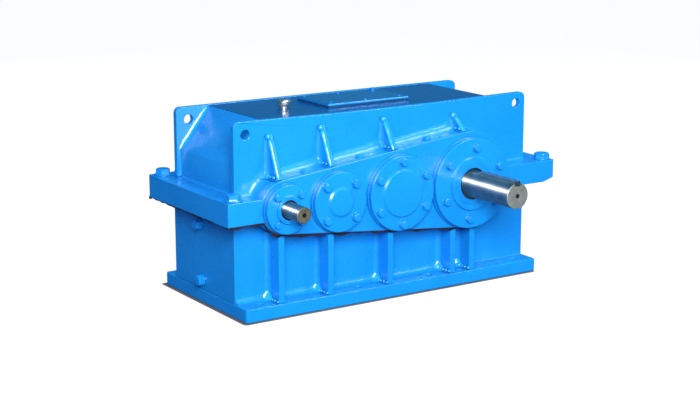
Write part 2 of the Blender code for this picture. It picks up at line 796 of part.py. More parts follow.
def gear(body, index, name):
    """A gear with a tooth space towards its pinion, bored for its shaft."""
    stage = STAGES[index]
    station = STATIONS[index + 1]
    outline = gear_outline(stage.gear_teeth, stage_module(index), pi + pi / stage.gear_teeth)
    wheel = solid(name, prism("Y", outline, *stage_faces(index)), gear_steel(), body)
    seat = hole_radius(station.journal_radius + SHAFT_SHOULDER, FINE_SEGMENTS)
    bore = circle((0, 0), seat, FINE_SEGMENTS)
    low, high = stage_faces(index)
    cut(wheel, prism("Y", bore, low - stage.face_width, high + stage.face_width), "bore")
    return wheel


def shaft_profile(station, nose):
    """Radius and y points from the front end to the back end. nose holds the part in front."""
    body = station.journal_radius + SHAFT_SHOULDER
    inner = WALL_INSIDE + BEARING_INSET
    tail = inner + station.bearing_width + SHAFT_TAIL
    journal = station.journal_radius
    return nose + [(journal, -inner), (body, -inner), (body, inner), (journal, inner), (journal, tail)]


def blind_nose(station):
    """The front end of a shaft that stops behind a closed cover."""
    tail = WALL_INSIDE + BEARING_INSET + station.bearing_width + SHAFT_TAIL
    return [(station.journal_radius, -tail)]


def open_nose(station, end_radius, end_y):
    """The front end of a shaft that runs out through a seal to a chamfered shaft end."""
    hub = HUBS[station.name]
    tail = WALL_INSIDE + BEARING_INSET + station.bearing_width + SHAFT_TAIL
    shoulder = -(COVER_FACE_Y + HUB_HEIGHT - SEAL_INSET)
    return [
        (end_radius - SHAFT_CHAMFER, end_y),
        (end_radius, end_y + SHAFT_CHAMFER),
        (end_radius, shoulder),
        (hub.shaft_radius, shoulder),
        (hub.shaft_radius, -tail),
        (station.journal_radius, -tail),
    ]


def centre_hole(end_y):
    hole = circle((0, 0), CENTRE_HOLE_RADIUS, HOLE_SEGMENTS)
    return prism("Y", hole, end_y - CENTRE_HOLE_DEPTH, end_y + CENTRE_HOLE_DEPTH)


def shaft(body, station, nose, name):
    return solid(name, turned(shaft_profile(station, nose), FINE_SEGMENTS), ground_steel(), body)


def key_box(radius, grow, low, high):
    """A key or its keyway on top of a shaft: grow widens it, for a clearance all round."""
    half = KEY_WIDTH / 2 + grow
    bottom = radius - KEY_DEPTH - grow
    return box((-half, half), (low - grow, high + grow), (bottom, bottom + KEY_HEIGHT + 2 * grow))


def output_keys(body, output_shaft, output_gear):
    """The key on the shaft end and the key inside the output gear, each in its keyway."""
    low = OUTPUT_END_Y + KEY_END_SETBACK
    cut(output_shaft, key_box(OUTPUT_END_RADIUS, GAP, low - KEY_DEPTH, KEY_START_Y), "keyway")
    key = key_box(OUTPUT_END_RADIUS, 0, low, KEY_START_Y)
    solid("output_shaft_key", key, ground_steel(), body)
    seat = STATIONS[-1].journal_radius + SHAFT_SHOULDER
    face_low, face_high = stage_faces(len(STAGES) - 1)
    low = face_low + GEAR_KEY_MARGIN
    high = face_high - GEAR_KEY_MARGIN
    cut(output_shaft, key_box(seat, GAP, low, high), "gear_keyway")
    slot = key_box(seat, GAP, face_low - GEAR_KEY_MARGIN, face_high + GEAR_KEY_MARGIN)
    cut(output_gear, slot, "keyway")
    solid("output_gear_key", key_box(seat, 0, low, high), ground_steel(), body)


def rotating_bodies(root):
    """The four shafts, each about its own empty, with the gears and inner rings that turn with it."""
    bodies = []
    for station in STATIONS:
        bodies.append(empty(f"{station.name}_axis", (station.x, 0, SHAFT_Z), root))
    first, second, third, fourth = STATIONS
    nose = open_nose(first, INPUT_END_RADIUS, INPUT_END_Y)
    input_shaft = shaft(bodies[0], first, nose, "input_pinion_shaft")
    cut(input_shaft, centre_hole(INPUT_END_Y), "centre_hole")
    join(input_shaft, pinion_shape(0), "pinion")
    for index, station in ((1, second), (2, third)):
        made = shaft(bodies[index], station, blind_nose(station), f"{station.name}_pinion_shaft")
        join(made, pinion_shape(index), "pinion")
        gear(bodies[index], index - 1, f"{station.name}_gear")
    nose = open_nose(fourth, OUTPUT_END_RADIUS, OUTPUT_END_Y)
    output_shaft = shaft(bodies[3], fourth, nose, "output_shaft")
    cut(output_shaft, centre_hole(OUTPUT_END_Y), "centre_hole")
    output_gear = gear(bodies[3], 2, "output_gear")
    output_keys(bodies[3], output_shaft, output_gear)
    for body, station in zip(bodies, STATIONS):
        inner_ring(body, station, FRONT, f"{station.name}_front_inner_ring")
        inner_ring(body, station, BACK, f"{station.name}_back_inner_ring")


def covers_and_bearings(case):
    for station in STATIONS:
        for side, place in ((FRONT, "front"), (BACK, "back")):
            outer_ring(case, station, side, f"{station.name}_{place}_outer_ring")
            name = f"{station.name}_{place}_cover"
            if side == FRONT and station.name in HUBS:
                open_cover(case, station, side, name)
                shaft_seal(case, station, side, f"{station.name}_seal")
            else:
                closed_cover(case, station, side, name)


def welded_case(case):
    base_plate(case)
    for side, place in ((FRONT, "front"), (BACK, "back")):
        lower_wall(case, side, f"lower_{place}_wall")
        upper_side(case, side, f"upper_{place}_plate")
        bearing_block(case, side, False, f"lower_{place}_flange")
        bearing_block(case, side, True, f"upper_{place}_flange")
        for x, end in zip(BOLT_X, ("left", "right")):
            flange_bolt(case, x, side * BOLT_Y, f"flange_bolt_{place}_{end}")
    for end, place in ((-1, "left"), (1, "right")):
        lower_end(case, end, f"lower_{place}_end")
        upper_end(case, end, f"upper_{place}_end")
    top_plate(case)
    inspection_hatch(case)
    breather(case)
    plug(case, DRAIN_PLUG, "drain_plug")
    plug(case, LEVEL_PLUG, "oil_level_plug")


def main():
    for found in list(bpy.data.objects):
        bpy.data.objects.remove(found, do_unlink=True)
    root = empty("gearbox")
    case = empty("case", parent=root)
    welded_case(case)
    covers_and_bearings(case)
    rotating_bodies(root)


main()
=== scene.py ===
"""Looks of a three-stage gearbox in a welded steel case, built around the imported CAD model.

Metres, +Z up, in the frame of the CAD. The painted pieces are rebuilt with rounded edges, and the
weld beads and the small fasteners are added here. Everything inside the case stays as packed.
"""

import json
from itertools import count
from math import asin, cos, exp, pi, radians, sin, tan

import bmesh
import bpy
from mathutils import Matrix, Vector, noise


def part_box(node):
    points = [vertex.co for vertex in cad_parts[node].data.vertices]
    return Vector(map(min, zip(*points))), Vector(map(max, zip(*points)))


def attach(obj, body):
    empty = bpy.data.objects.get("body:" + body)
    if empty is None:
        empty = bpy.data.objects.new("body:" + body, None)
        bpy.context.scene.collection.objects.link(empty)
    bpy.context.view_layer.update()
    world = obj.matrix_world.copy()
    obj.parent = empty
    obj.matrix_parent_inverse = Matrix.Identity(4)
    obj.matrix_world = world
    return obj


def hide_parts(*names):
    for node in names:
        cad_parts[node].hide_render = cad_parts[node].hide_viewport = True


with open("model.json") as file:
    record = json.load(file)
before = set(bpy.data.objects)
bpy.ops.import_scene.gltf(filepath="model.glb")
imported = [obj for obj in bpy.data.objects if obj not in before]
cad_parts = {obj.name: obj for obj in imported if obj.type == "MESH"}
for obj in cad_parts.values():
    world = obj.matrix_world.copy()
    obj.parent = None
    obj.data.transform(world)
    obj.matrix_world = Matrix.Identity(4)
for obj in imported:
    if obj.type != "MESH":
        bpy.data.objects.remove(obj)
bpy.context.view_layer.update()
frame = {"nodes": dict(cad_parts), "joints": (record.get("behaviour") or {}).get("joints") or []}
JOINTS = {joint["child"]: joint for joint in frame["joints"]}
SHAFTS = ("input", "intermediate_1", "intermediate_2", "output")
SHAFT_Z = JOINTS["output"]["pos_m"][2]
FRONT = -1
BACK = 1
SIDES = ((FRONT, "front"), (BACK, "back"))
ENDS = ((-1, "left"), (1, "right"))
UP = Vector((0, 0, 1))
DOWN = -UP
RIGHT = Vector((1, 0, 0))
LEFT = -RIGHT
X, Y, Z = range(3)


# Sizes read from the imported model

def span(node, axis):
    low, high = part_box(node)
    return low[axis], high[axis]


def radius_of(node):
    low, high = span(node, X)
    return (high - low) / 2


BASE_TOP = span("base_plate", Z)[1]
CASE_X = span("upper_front_plate", X)[1]
CASE_TOP = span("upper_back_plate", Z)[1]
LOWER_LEFT_X = -0.4025
WALL_OUT = 0.140
WALL_IN = span("lower_back_wall", Y)[0]
FLANGE_LEFT, FLANGE_RIGHT = span("upper_front_flange", X)
FLANGE_BOTTOM = 0.217
FLANGE_TOP = 0.269
FLANGE_Y = 0.190
BOSS_Y = span("upper_back_flange", Y)[1]
COVER_Y = 0.206
END_RUN = 0.032
END_RISE = 0.010
TOP_RADII = (0.0625, 0.1205)
BOTTOM_RADII = (0.0585, 0.1070)
FIRST_X = JOINTS["input"]["pos_m"][0]
LAST_X = JOINTS["output"]["pos_m"][0]
RIB_X = (-0.310, -0.182, -0.021, 0.1565, 0.2125)
RIB_HALF = 0.0075
RIB_Y = 0.186
GUSSET_X = (-0.310, -0.176, -0.009, 0.189)
GUSSET_TOPS = (0.394, 0.401, 0.404, 0.395)
GUSSET_HALF = 0.006
GUSSET_FOOT = 0.044
GAP = 0.0003
BOLT_Y = 0.166


# Node materials

class Graph:
    """A material's node tree, with short calls to add and join nodes."""

    def __init__(self, name):
        self.material = bpy.data.materials.new(name)
        self.material.use_nodes = True
        self.tree = self.material.node_tree
        self.shader = self.tree.nodes["Principled BSDF"]
        self.place = self.add("ShaderNodeTexCoord").outputs["Object"]

    def feed(self, node, inputs):
        """Links or sets some inputs of a node, each given by its name or number."""
        for name, value in inputs.items():
            socket = node.inputs[name.replace("_", " ") if isinstance(name, str) else name]
            if isinstance(value, bpy.types.NodeSocket):
                self.tree.links.new(value, socket)
            elif socket.type == "RGBA":
                socket.default_value = (*value, 1.0)
            else:
                socket.default_value = value
        return node

    def add(self, kind, **inputs):
        return self.feed(self.tree.nodes.new(kind), inputs)

    def shade(self, **inputs):
        self.feed(self.shader, inputs)

    def stretched(self, scale):
        return self.add("ShaderNodeMapping", Vector=self.place, Scale=scale).outputs["Vector"]

    def noise(self, scale, detail=2.0, vector=None):
        node = self.add("ShaderNodeTexNoise", Vector=vector or self.place, Scale=scale, Detail=detail)
        return node.outputs["Fac"]

    def vector(self, operation, first, second=(0, 0, 0)):
        """One step of vector maths on a socket."""
        node = self.tree.nodes.new("ShaderNodeVectorMath")
        node.operation = operation
        return self.feed(node, {0: first, 1: second}).outputs["Value" if operation == "LENGTH" else "Vector"]

    def ramp(self, factor, low, high, first=0.0, second=1.0):
        """Maps a factor from the range low to high onto two values."""
        limits = {"From_Min": low, "From_Max": high, "To_Min": first, "To_Max": second}
        return self.add("ShaderNodeMapRange", Value=factor, **limits).outputs["Result"]

    def mix(self, factor, first, second):
        node = self.tree.nodes.new("ShaderNodeMix")
        node.data_type = "RGBA"
        return self.feed(node, {0: factor, 6: first, 7: second}).outputs[2]

    def bump(self, height, distance, **normal):
        node = self.add("ShaderNodeBump", Height=height, Distance=distance, Strength=1.0, **normal)
        return node.outputs["Normal"]


def paint(name, deep, bright, wave=0.0006, haze=0.15, coat=0.55):
    """Glossy enamel, with painted shade that darkens it in the crevices."""
    g = Graph(name)
    colour = g.mix(g.ramp(g.noise(7.0, 3.0), 0.35, 0.65), deep, bright)
    specks = g.ramp(g.noise(900.0, 1.0), 0.68, 0.74, 0.0, 0.35)
    colour = g.mix(specks, colour, tuple(0.7 * c for c in deep))
    # Painted shade: ambient occlusion darkens the colour in crevices and corners towards a dark copy of the
    # deep tone.
    crevice_shade_ao = g.add("ShaderNodeAmbientOcclusion", Distance=0.006)
    crevice_shade_ao.samples = 6
    unshaded_part = g.ramp(crevice_shade_ao.outputs["AO"], 0.30, 0.75)
    flow = g.bump(g.noise(28.0, 2.0), wave)
    g.shade(
        Base_Color=g.mix(unshaded_part, tuple(0.30 * c for c in deep), colour),
        Roughness=g.ramp(g.noise(45.0, 3.0), 0.3, 0.7, 0.24, 0.34),
        Normal=g.bump(g.noise(420.0, 2.0), 0.00006, Normal=flow),
        Specular_IOR_Level=0.35,
        Coat_Weight=coat,
        Coat_Roughness=haze,
    )
    return g.material


def steel(name, dark, light, roughness, marks=(3.0, 900.0, 3.0)):
    """Machined steel. The marks are stretched across the piece, so that they run round a turned one."""
    g = Graph(name)
    lines = g.noise(1.0, 3.0, g.stretched(marks))
    g.shade(
        Base_Color=g.mix(g.ramp(g.noise(38.0, 4.0), 0.35, 0.7), light, dark),
        Roughness=g.ramp(lines, 0.3, 0.7, roughness * 0.75, roughness * 1.3),
        Normal=g.bump(lines, 0.00002),
        Metallic=1.0,
    )
    return g


def turned(g):
    """Spreads the reflections of turned steel along its axis, across the fine marks of the tool."""
    around = g.tree.nodes.new("ShaderNodeTangent")
    around.direction_type = "RADIAL"
    around.axis = "Y"
    g.shade(Tangent=around.outputs["Tangent"], Anisotropic=0.97, Anisotropic_Rotation=0.25)
    return g


def end_grain(name, dark, light, roughness):
    """The faced end of a shaft, with concentric turning marks about the piece's own Y axis."""
    g = Graph(name)
    rings = g.tree.nodes.new("ShaderNodeTexNoise")
    rings.noise_dimensions = "1D"
    radius = g.vector("LENGTH", g.vector("MULTIPLY", g.place, (1, 0, 1)))
    marks = g.feed(rings, {"W": radius, "Scale": 900.0}).outputs["Fac"]
    g.shade(
        Base_Color=g.mix(g.ramp(g.noise(120.0, 4.0), 0.35, 0.65), light, dark),
        Roughness=g.ramp(marks, 0.3, 0.7, roughness * 0.8, roughness * 1.2),
        Normal=g.bump(marks, 0.00004),
        Metallic=0.3,
    )
    return g.material


def rubber(name, dark, light):
    g = Graph(name)
    g.shade(
        Base_Color=g.mix(g.ramp(g.noise(60.0, 3.0), 0.3, 0.7), dark, light),
        Roughness=g.ramp(g.noise(150.0, 2.0), 0.3, 0.7, 0.4, 0.6),
        Normal=g.bump(g.noise(700.0, 2.0), 0.00005),
    )
    return g.material


CASE_PAINT = paint("case_paint", (0.005, 0.235, 0.670), (0.007, 0.255, 0.710))
COVER_PAINT = paint("cover_paint", (0.005, 0.240, 0.680), (0.007, 0.255, 0.710), 0.0003)
BEAD_PAINT = paint("bead_paint", (0.005, 0.240, 0.680), (0.007, 0.260, 0.710), 0.0005, 0.36)
DULL_PAINT = paint("dull_paint", (0.005, 0.230, 0.655), (0.007, 0.250, 0.695), 0.0003, 0.50)
RIDGE_PAINT = paint("ridge_paint", (0.005, 0.245, 0.680), (0.008, 0.270, 0.710), 0.0008, 0.18, 1.0)
LID_PAINT = paint("lid_paint", (0.005, 0.230, 0.655), (0.007, 0.250, 0.695), 0.0004, 0.20, 1.0)
FASTENER_PAINT = paint("fastener_paint", (0.005, 0.230, 0.680), (0.007, 0.250, 0.720), 0.0004)
SHAFT_STEEL = turned(steel("shaft_steel", (0.36, 0.38, 0.38), (0.56, 0.58, 0.57), 0.48)).material
# The two shaft ends are one faced steel in lit and shaded copies: the input end's copy is painted darker, as
# shade.
OUTPUT_END = end_grain("output_end", (0.25, 0.245, 0.20), (0.33, 0.32, 0.27), 0.50)
INPUT_END_SHADED = end_grain("input_end_shaded", (0.110, 0.100, 0.065), (0.165, 0.150, 0.100), 0.50)
# Painted shade: a near-black finish for the inside of the drilled centre holes.
CENTRE_HOLE_SHADE = rubber("centre_hole", (0.006, 0.006, 0.005), (0.014, 0.013, 0.011))
KEY_STEEL = steel("key_steel", (0.20, 0.21, 0.18), (0.32, 0.32, 0.28), 0.38, (30.0, 900.0, 30.0)).material
GEAR_STEEL = steel("gear_steel", (0.33, 0.32, 0.30), (0.42, 0.41, 0.39), 0.33).material
BEARING_STEEL = steel("bearing_steel", (0.55, 0.55, 0.54), (0.66, 0.66, 0.65), 0.18).material
ZINC = steel("zinc_plate", (0.50, 0.50, 0.40), (0.80, 0.82, 0.75), 0.34, (60.0, 60.0, 500.0)).material
# Near black with a little brown: bare steel, and painted shade along the lower edges of the flange.
EDGE_BARE_AND_SHADED = rubber("edge_bare_and_shaded", (0.006, 0.004, 0.006), (0.026, 0.010, 0.010))
SEAL_RUBBER = rubber("seal_rubber", (0.020, 0.017, 0.015), (0.045, 0.036, 0.030))
GASKET = rubber("gasket_fibre", (0.010, 0.050, 0.140), (0.014, 0.080, 0.200))

# Pieces that some lights reach and others don't
UNLIT = []
LID_PIECES = []
SPARKLING = []
SHAFT_ENDS = []


# Pieces

def added(name, data):
    """A new object in the scene, with a light, a camera or a bmesh as its data."""
    if isinstance(data, bmesh.types.BMesh):
        mesh = bpy.data.meshes.new(name)
        data.to_mesh(mesh)
        data.free()
        data = mesh
    made = bpy.data.objects.new(name, data)
    bpy.context.scene.collection.objects.link(made)
    return made


def piece(name, shape, finish, replaces=(), body="housing", at=(0, 0, 0), sharp=35, spare=()):
    """Makes an object from a bmesh, places it, paints it and lets it ride on its body."""
    bmesh.ops.recalc_face_normals(shape, faces=shape.faces)
    made = added(name, shape)
    for material in (finish, *spare):
        made.data.materials.append(material)
    made.data.shade_smooth()
    made.data.set_sharp_from_angle(angle=radians(sharp))
    made.location = at
    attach(made, body)
    if replaces:
        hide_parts(*replaces)
    return made


def soften(made, width, seams=(), lean=(-1.1, 1.1), segments=3, angle=30):
    """Rounds the sharp outer edges of a piece, and leaves its seams.

    Edges of a face whose normal leans further down or up than the range lean are left as well.
    """
    shape = bmesh.new()
    shape.from_mesh(made.data)
    weight = shape.edges.layers.float.new("bevel_weight_edge")
    for edge in shape.edges:
        edge.smooth = len(edge.link_faces) != 2 or edge.calc_face_angle() < radians(angle)
        if edge.smooth or not edge.is_convex:
            continue
        if any(all(abs(vert.co[axis] - place) < 1e-4 for vert in edge.verts) for axis, place in seams):
            continue
        if all(lean[0] <= face.normal.z <= lean[1] for face in edge.link_faces):
            edge[weight] = 1.0
            edge.smooth = True
    shape.to_mesh(made.data)
    shape.free()
    bevel = made.modifiers.new("rounding", "BEVEL")
    bevel.width = width
    bevel.segments = segments
    bevel.limit_method = "WEIGHT"
    bevel.use_clamp_overlap = False
    bevel.miter_outer = "MITER_ARC"
    bevel.face_strength_mode = "FSTR_ALL"
    keep_flat(made)
    return made


def keep_flat(made):
    """Keeps the shading of wide flat faces level beside their rounded edges."""
    weigh = made.modifiers.new("flat_shading", "WEIGHTED_NORMAL")
    weigh.keep_sharp = True
    weigh.weight = 100
    weigh.use_face_influence = True


def carved(shape, joins=(), cuts=()):
    """A bmesh with other shapes joined on and cut out of it."""
    guides = []
    for source in (shape, *joins, *cuts):
        bmesh.ops.recalc_face_normals(source, faces=source.faces)
        guides.append(added("guide", source))
    for k, guide in enumerate(guides[1:]):
        modifier = guides[0].modifiers.new("cut", "BOOLEAN")
        modifier.operation = "UNION" if k < len(joins) else "DIFFERENCE"
        modifier.solver = "EXACT"
        modifier.object = guide
    graph = bpy.context.evaluated_depsgraph_get()
    result = bmesh.new()
    result.from_mesh(guides[0].evaluated_get(graph).to_mesh())
    for guide in guides:
        mesh = guide.data
        bpy.data.objects.remove(guide)
        bpy.data.meshes.remove(mesh)
    return with_whole_faces(result)


def cad_copy(node):
    """The mesh of a CAD node, ready to be edited."""
    shape = bmesh.new()
    shape.from_mesh(frame["nodes"][node].data)
    return with_whole_faces(shape)


def with_whole_faces(shape):
    """Joins double points, and facets that lie in one plane."""
    bmesh.ops.remove_doubles(shape, verts=shape.verts, dist=1e-5)
    bmesh.ops.dissolve_limit(shape, angle_limit=radians(0.5), verts=shape.verts, edges=shape.edges)
    return shape


def along(axis, a, b, c):
    return {X: (c, a, b), Y: (a, c, b), Z: (a, b, c)}[axis]


def prism(axis, outline, low, high):
    """A closed outline drawn out along an axis."""
    return solid([[along(axis, a, b, c) for a, b in outline] for c in (low, high)])


def solid(rings):
    """A closed bmesh through rings of points, with a face over its first and its last ring."""
    shape = bmesh.new()
    rows = [[shape.verts.new(point) for point in ring] for ring in rings]
    shape.faces.new(rows[0])
    shape.faces.new(rows[-1])
    skin(shape, rows)
    return shape


def skin(shape, rings):
    """Joins each ring of points to the next one with faces. A ring may be one point, repeated."""
    for near, far in zip(rings, rings[1:]):
        for i in range(len(near)):
            j = (i + 1) % len(near)
            shape.faces.new(list(dict.fromkeys((near[i], near[j], far[j], far[i]))))


def moved(shape, matrix):
    bmesh.ops.transform(shape, matrix=matrix, verts=shape.verts)
    return shape


def arc(centre, radius, start, end, steps):
    points = []
    for i in range(steps + 1):
        angle = start + (end - start) * i / steps
        points.append((centre[0] + radius * cos(angle), centre[1] + radius * sin(angle)))
    return points


def circle(centre, radius, segments=72):
    return arc(centre, radius, 0, 2 * pi, segments)[:-1]


def rectangle(a, b):
    return [(a[0], b[0]), (a[1], b[0]), (a[1], b[1]), (a[0], b[1])]


def rounded(profile, radius, steps=4, closed=True):
    """Replaces each corner of a profile with an arc. radius is one number or one for each corner."""
    count = len(profile)
    radii = [radius] * count if isinstance(radius, float) else radius
    points = []
    for i, (corner, reach) in enumerate(zip(profile, radii)):
        here = Vector(corner)
        if reach == 0 or (not closed and i in (0, count - 1)):
            points.append(tuple(here))
            continue
        before = Vector(profile[i - 1]) - here
        after = Vector(profile[(i + 1) % count]) - here
        turn = before.angle(after)
        back = min(reach / tan(turn / 2), 0.45 * before.length, 0.45 * after.length)
        start = here + before.normalized() * back
        end = here + after.normalized() * back
        for k in range(steps + 1):
            t = k / steps
            points.append(tuple(start * (1 - t) ** 2 + here * 2 * t * (1 - t) + end * t * t))
    return points


def lathe(profile, segments=96, closed=True):
    """A solid turned about the Y axis from (radius, y) points. A point at radius 0 closes an end."""
    shape = bmesh.new()
    rows = []
    for radius, y in profile:
        if radius == 0:
            rows.append([shape.verts.new((0, y, 0))] * segments)
        else:
            rows.append([shape.verts.new((a, y, b)) for a, b in circle((0, 0), radius, segments)])
    skin(shape, rows + rows[:1] if closed else rows)
    return shape


# Outline of the bearing blocks, seen from the front

def tangent_angle(radii):
    return pi / 2 + asin((radii[1] - radii[0]) / (LAST_X - FIRST_X))


def block_top(grow=0.0):
    radii = [radius + grow for radius in TOP_RADII]
    angle = tangent_angle(radii)
    top = FLANGE_TOP + grow
    points = [(FLANGE_LEFT, top)]
    points += arc((FIRST_X, SHAFT_Z), radii[0], pi - asin((top - SHAFT_Z) / radii[0]), angle, 14)
    points += arc((LAST_X, SHAFT_Z), radii[1], angle, asin((top - SHAFT_Z) / radii[1]), 32)
    points.append((FLANGE_RIGHT, top))
    return points


def block_bottom(grow=0.0):
    radii = [radius + grow for radius in BOTTOM_RADII]
    angle = -tangent_angle(radii)
    bottom = FLANGE_BOTTOM - grow
    points = [(FLANGE_LEFT, bottom)]
    points += arc((FIRST_X, SHAFT_Z), radii[0], asin((SHAFT_Z - bottom) / radii[0]) - pi, angle, 14)
    points += arc((LAST_X, SHAFT_Z), radii[1], angle, -asin((SHAFT_Z - bottom) / radii[1]), 28)
    for k in range(7):
        t = k / 6
        run = END_RUN * (1 - t) * (1 + 0.45 * t)
        rise = END_RISE * (0.55 * t + 0.45 * t ** 3)
        points.append((FLANGE_RIGHT - run, bottom + rise))
    return points


def height_at(points, x):
    for (x0, z0), (x1, z1) in zip(points, points[1:]):
        if x0 <= x <= x1 and x1 > x0:
            return z0 + (z1 - z0) * (x - x0) / (x1 - x0)
    return points[-1][1]


# Welded case

def case_plates():
    """The planar plates of the case, copied from the CAD with rounded edges."""
    wall, plate = 0.0016, 0.0018
    widths = {
        "lower_front_wall": wall,
        "lower_back_wall": wall,
        "upper_front_plate": plate,
        "upper_back_plate": plate,
        "lower_left_end": plate,
        "lower_right_end": plate,
        "upper_left_end": plate,
        "upper_right_end": plate,
        "top_plate": 0.0008,
    }
    for node, width in widths.items():
        shape = cad_copy(node)
        edges = {}
        if node.startswith("lower"):
            # The left end of the lower case stands a little further out than in the CAD
            for vert in shape.verts:
                if -0.401 < vert.co.x < -0.397:
                    vert.co.x = LOWER_LEFT_X
        if node.endswith("_end"):
            edges["seams"] = close_seams(shape)
        elif node.startswith("lower"):
            edges["seams"] = ((Y, WALL_IN), (Y, -WALL_IN))
            edges["lean"] = (-0.05, 0.05)
        elif node.startswith("upper"):
            edges["lean"] = (-0.15, 1.1)
        finish = DULL_PAINT if node in ("upper_left_end", "upper_right_end") else CASE_PAINT
        made = piece(f"{node}_plate", shape, finish, [node])
        soften(made, width, angle=50, **edges)
        if node == "top_plate":
            UNLIT.append(made)


def close_seams(shape):
    """Brings the edges of an end wall up to its neighbours, so that the paint runs over the seams."""
    inside = WALL_IN - GAP
    for vert in shape.verts:
        if abs(abs(vert.co.y) - inside) < 2e-4:
            vert.co.y *= WALL_IN / abs(vert.co.y)
        if abs(vert.co.z - SHAFT_Z) < 2e-4:
            vert.co.z = SHAFT_Z
    return (Z, SHAFT_Z), (Z, BASE_TOP), (Y, WALL_IN), (Y, -WALL_IN)


def base():
    low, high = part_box("base_plate")
    corner = rounded(rectangle((low.x, high.x), (low.y, high.y)), 0.008, 6)
    holes = []
    for x in (-0.355, -0.096, 0.100, 0.355):
        for side, _ in SIDES:
            holes.append(prism(Z, circle((x, side * BOLT_Y), 0.009, 36), -0.01, high.z + 0.01))
    shape = carved(prism(Z, corner, low.z, high.z), cuts=holes)
    made = piece("base_plate_rounded", shape, CASE_PAINT, ["base_plate"])
    soften(made, 0.0020)


def bearing_blocks():
    """The halves of the split flange with the bearing blocks, with fine round walls and raised bosses."""
    corner_radii = {FRONT: (0.003, 0.006), BACK: (0.007, 0.010)}
    for side, place in SIDES:
        for level, contour, radius, other in (
            ("lower", block_bottom, 0.0028, (SHAFT_Z, CASE_TOP)),
            ("upper", block_top, 0.0020, (0, SHAFT_Z)),
        ):
            sections = [(WALL_IN, 0.0)] + arc((FLANGE_Y - radius, -radius), radius, pi / 2, 0, 3)
            split = [(FLANGE_RIGHT, SHAFT_Z), (FLANGE_LEFT, SHAFT_Z)]
            shape = solid([[(x, side * y, z) for x, z in contour(grow) + split] for y, grow in sections])
            cuts = corner_trims(side, corner_radii[side])
            for name in SHAFTS:
                radius = radius_of(f"{name}_{place}_outer_ring") + GAP
                bore = circle((JOINTS[name]["pos_m"][0], SHAFT_Z), radius, 96)
                cuts.append(prism(Y, bore, *sorted((side * 0.06, side * 0.3))))
            for x in bolt_places(place):
                cuts.append(prism(Z, circle((x, side * BOLT_Y), 0.0095, 32), BASE_TOP, CASE_TOP))
            cuts.append(prism(Z, rectangle((-1, 1), (-1, 1)), *other))
            bosses = [boss(name, side, place) for name in SHAFTS]
            node = f"{level}_{place}_flange"
            keep_flat(piece(f"{node}_block", carved(shape, bosses, cuts), CASE_PAINT, [node]))


def boss(name, side, place):
    """The round raised face that a bearing cover sits on."""
    radius = radius_of(f"{name}_{place}_cover") + 0.002
    root, inner = BOSS_Y - 0.012, radius - 0.004
    rim = rounded([(inner, root), (radius, root), (radius, BOSS_Y), (inner, BOSS_Y)], [0, 0, 0.0018, 0], 3)
    profile = [(0, root)] + rim[1:-1] + [(0, BOSS_Y)]
    shape = lathe([(r, side * y) for r, y in profile], closed=False)
    return moved(shape, Matrix.Translation((JOINTS[name]["pos_m"][0], 0, SHAFT_Z)))


def bolt_places(place):
    return [sum(span(f"flange_bolt_{place}_{where}", X)) / 2 for _, where in ENDS]


def corner_trims(side, radii):
    """Cutters that round the two outer corners of the flange in plan."""
    trims = []
    for end, x, radius in ((-1, FLANGE_LEFT, radii[0]), (1, FLANGE_RIGHT, radii[1])):
        centre = (x - end * radius, side * (FLANGE_Y - radius))
        start = 0 if end > 0 else pi
        curve = arc(centre, radius, start, start + end * side * pi / 2, 8)
        tip = (x + end * 2 * radius, side * (FLANGE_Y + 2 * radius))
        outline = curve + [(centre[0], tip[1]), tip, (tip[0], centre[1])]
        trims.append(prism(Z, outline, BASE_TOP, CASE_TOP))
    return trims


# Covers, seals and shafts

def covers():
    for name in SHAFTS:
        at = JOINTS[name]["pos_m"]
        for side, place in SIDES:
            node = f"{name}_{place}_cover"
            radius = radius_of(node)
            spigot = radius_of(f"{name}_{place}_outer_ring") - GAP
            deep = min(abs(y) for y in span(node, Y))
            back = BOSS_Y + GAP
            if side == FRONT and name in ("input", "output"):
                hub, seat = (0.031, 0.0273) if name == "input" else (0.063, 0.0484)
                inner = seat - 0.0043
                face = COVER_Y + 0.005
                land = face - 0.0123
                profile = [(seat, face), (hub, face), (hub, COVER_Y), (radius, COVER_Y), (radius, back),
                           (spigot, back), (spigot, deep), (inner, deep), (inner, land), (seat, land)]
                radii = [0.0012, 0.0020, 0.0030, 0.0022, 0.0006, 0, 0, 0, 0, 0]
            else:
                step = radius - (0.031 if name == "intermediate_2" else 0.033)
                bank = 0.0055 if name == "intermediate_1" else 0.0035
                disc, inner = COVER_Y + 0.004, spigot - 0.006
                profile = [(0, disc), (step - bank, disc), (step, COVER_Y), (radius, COVER_Y), (radius, back),
                           (spigot, back), (spigot, deep), (inner, deep), (inner, BOSS_Y), (0, BOSS_Y)]
                radii = [0, 0.0040, 0.0030, 0.0022, 0.0006, 0, 0, 0, 0, 0]
            closed = profile[0][0] > 0
            shape = lathe([(r, side * y) for r, y in rounded(profile, radii, 4, closed)], closed=closed)
            piece(f"{node}_turned", shape, COVER_PAINT, [node], at=at)


def seals():
    for name, lip, seat in (("input", 0.0199, 0.0270), ("output", 0.0350, 0.0480)):
        at = JOINTS[name]["pos_m"]
        low, high = span(f"{name}_seal", Y)
        profile = [(lip, low + 0.003), (lip + 0.002, low), (seat - 0.003, low + 0.0016),
                   (seat, low), (seat, high), (lip, high)]
        shape = lathe(rounded(profile, [0.0008, 0.0008, 0.002, 0.0012, 0, 0], 4))
        piece(f"{name}_lip_seal", shape, SEAL_RUBBER, [f"{name}_seal"], at=at)
        film = [(lip + 0.0022, low - 0.0004), (seat + 0.0004, low - 0.0016), (seat + 0.0004, low + 0.001),
                (lip + 0.0022, low + 0.001)]
        shape = lathe(rounded(film, [0.0006, 0.0008, 0, 0], 4))
        piece(f"{name}_seal_film", shape, COVER_PAINT, at=at)


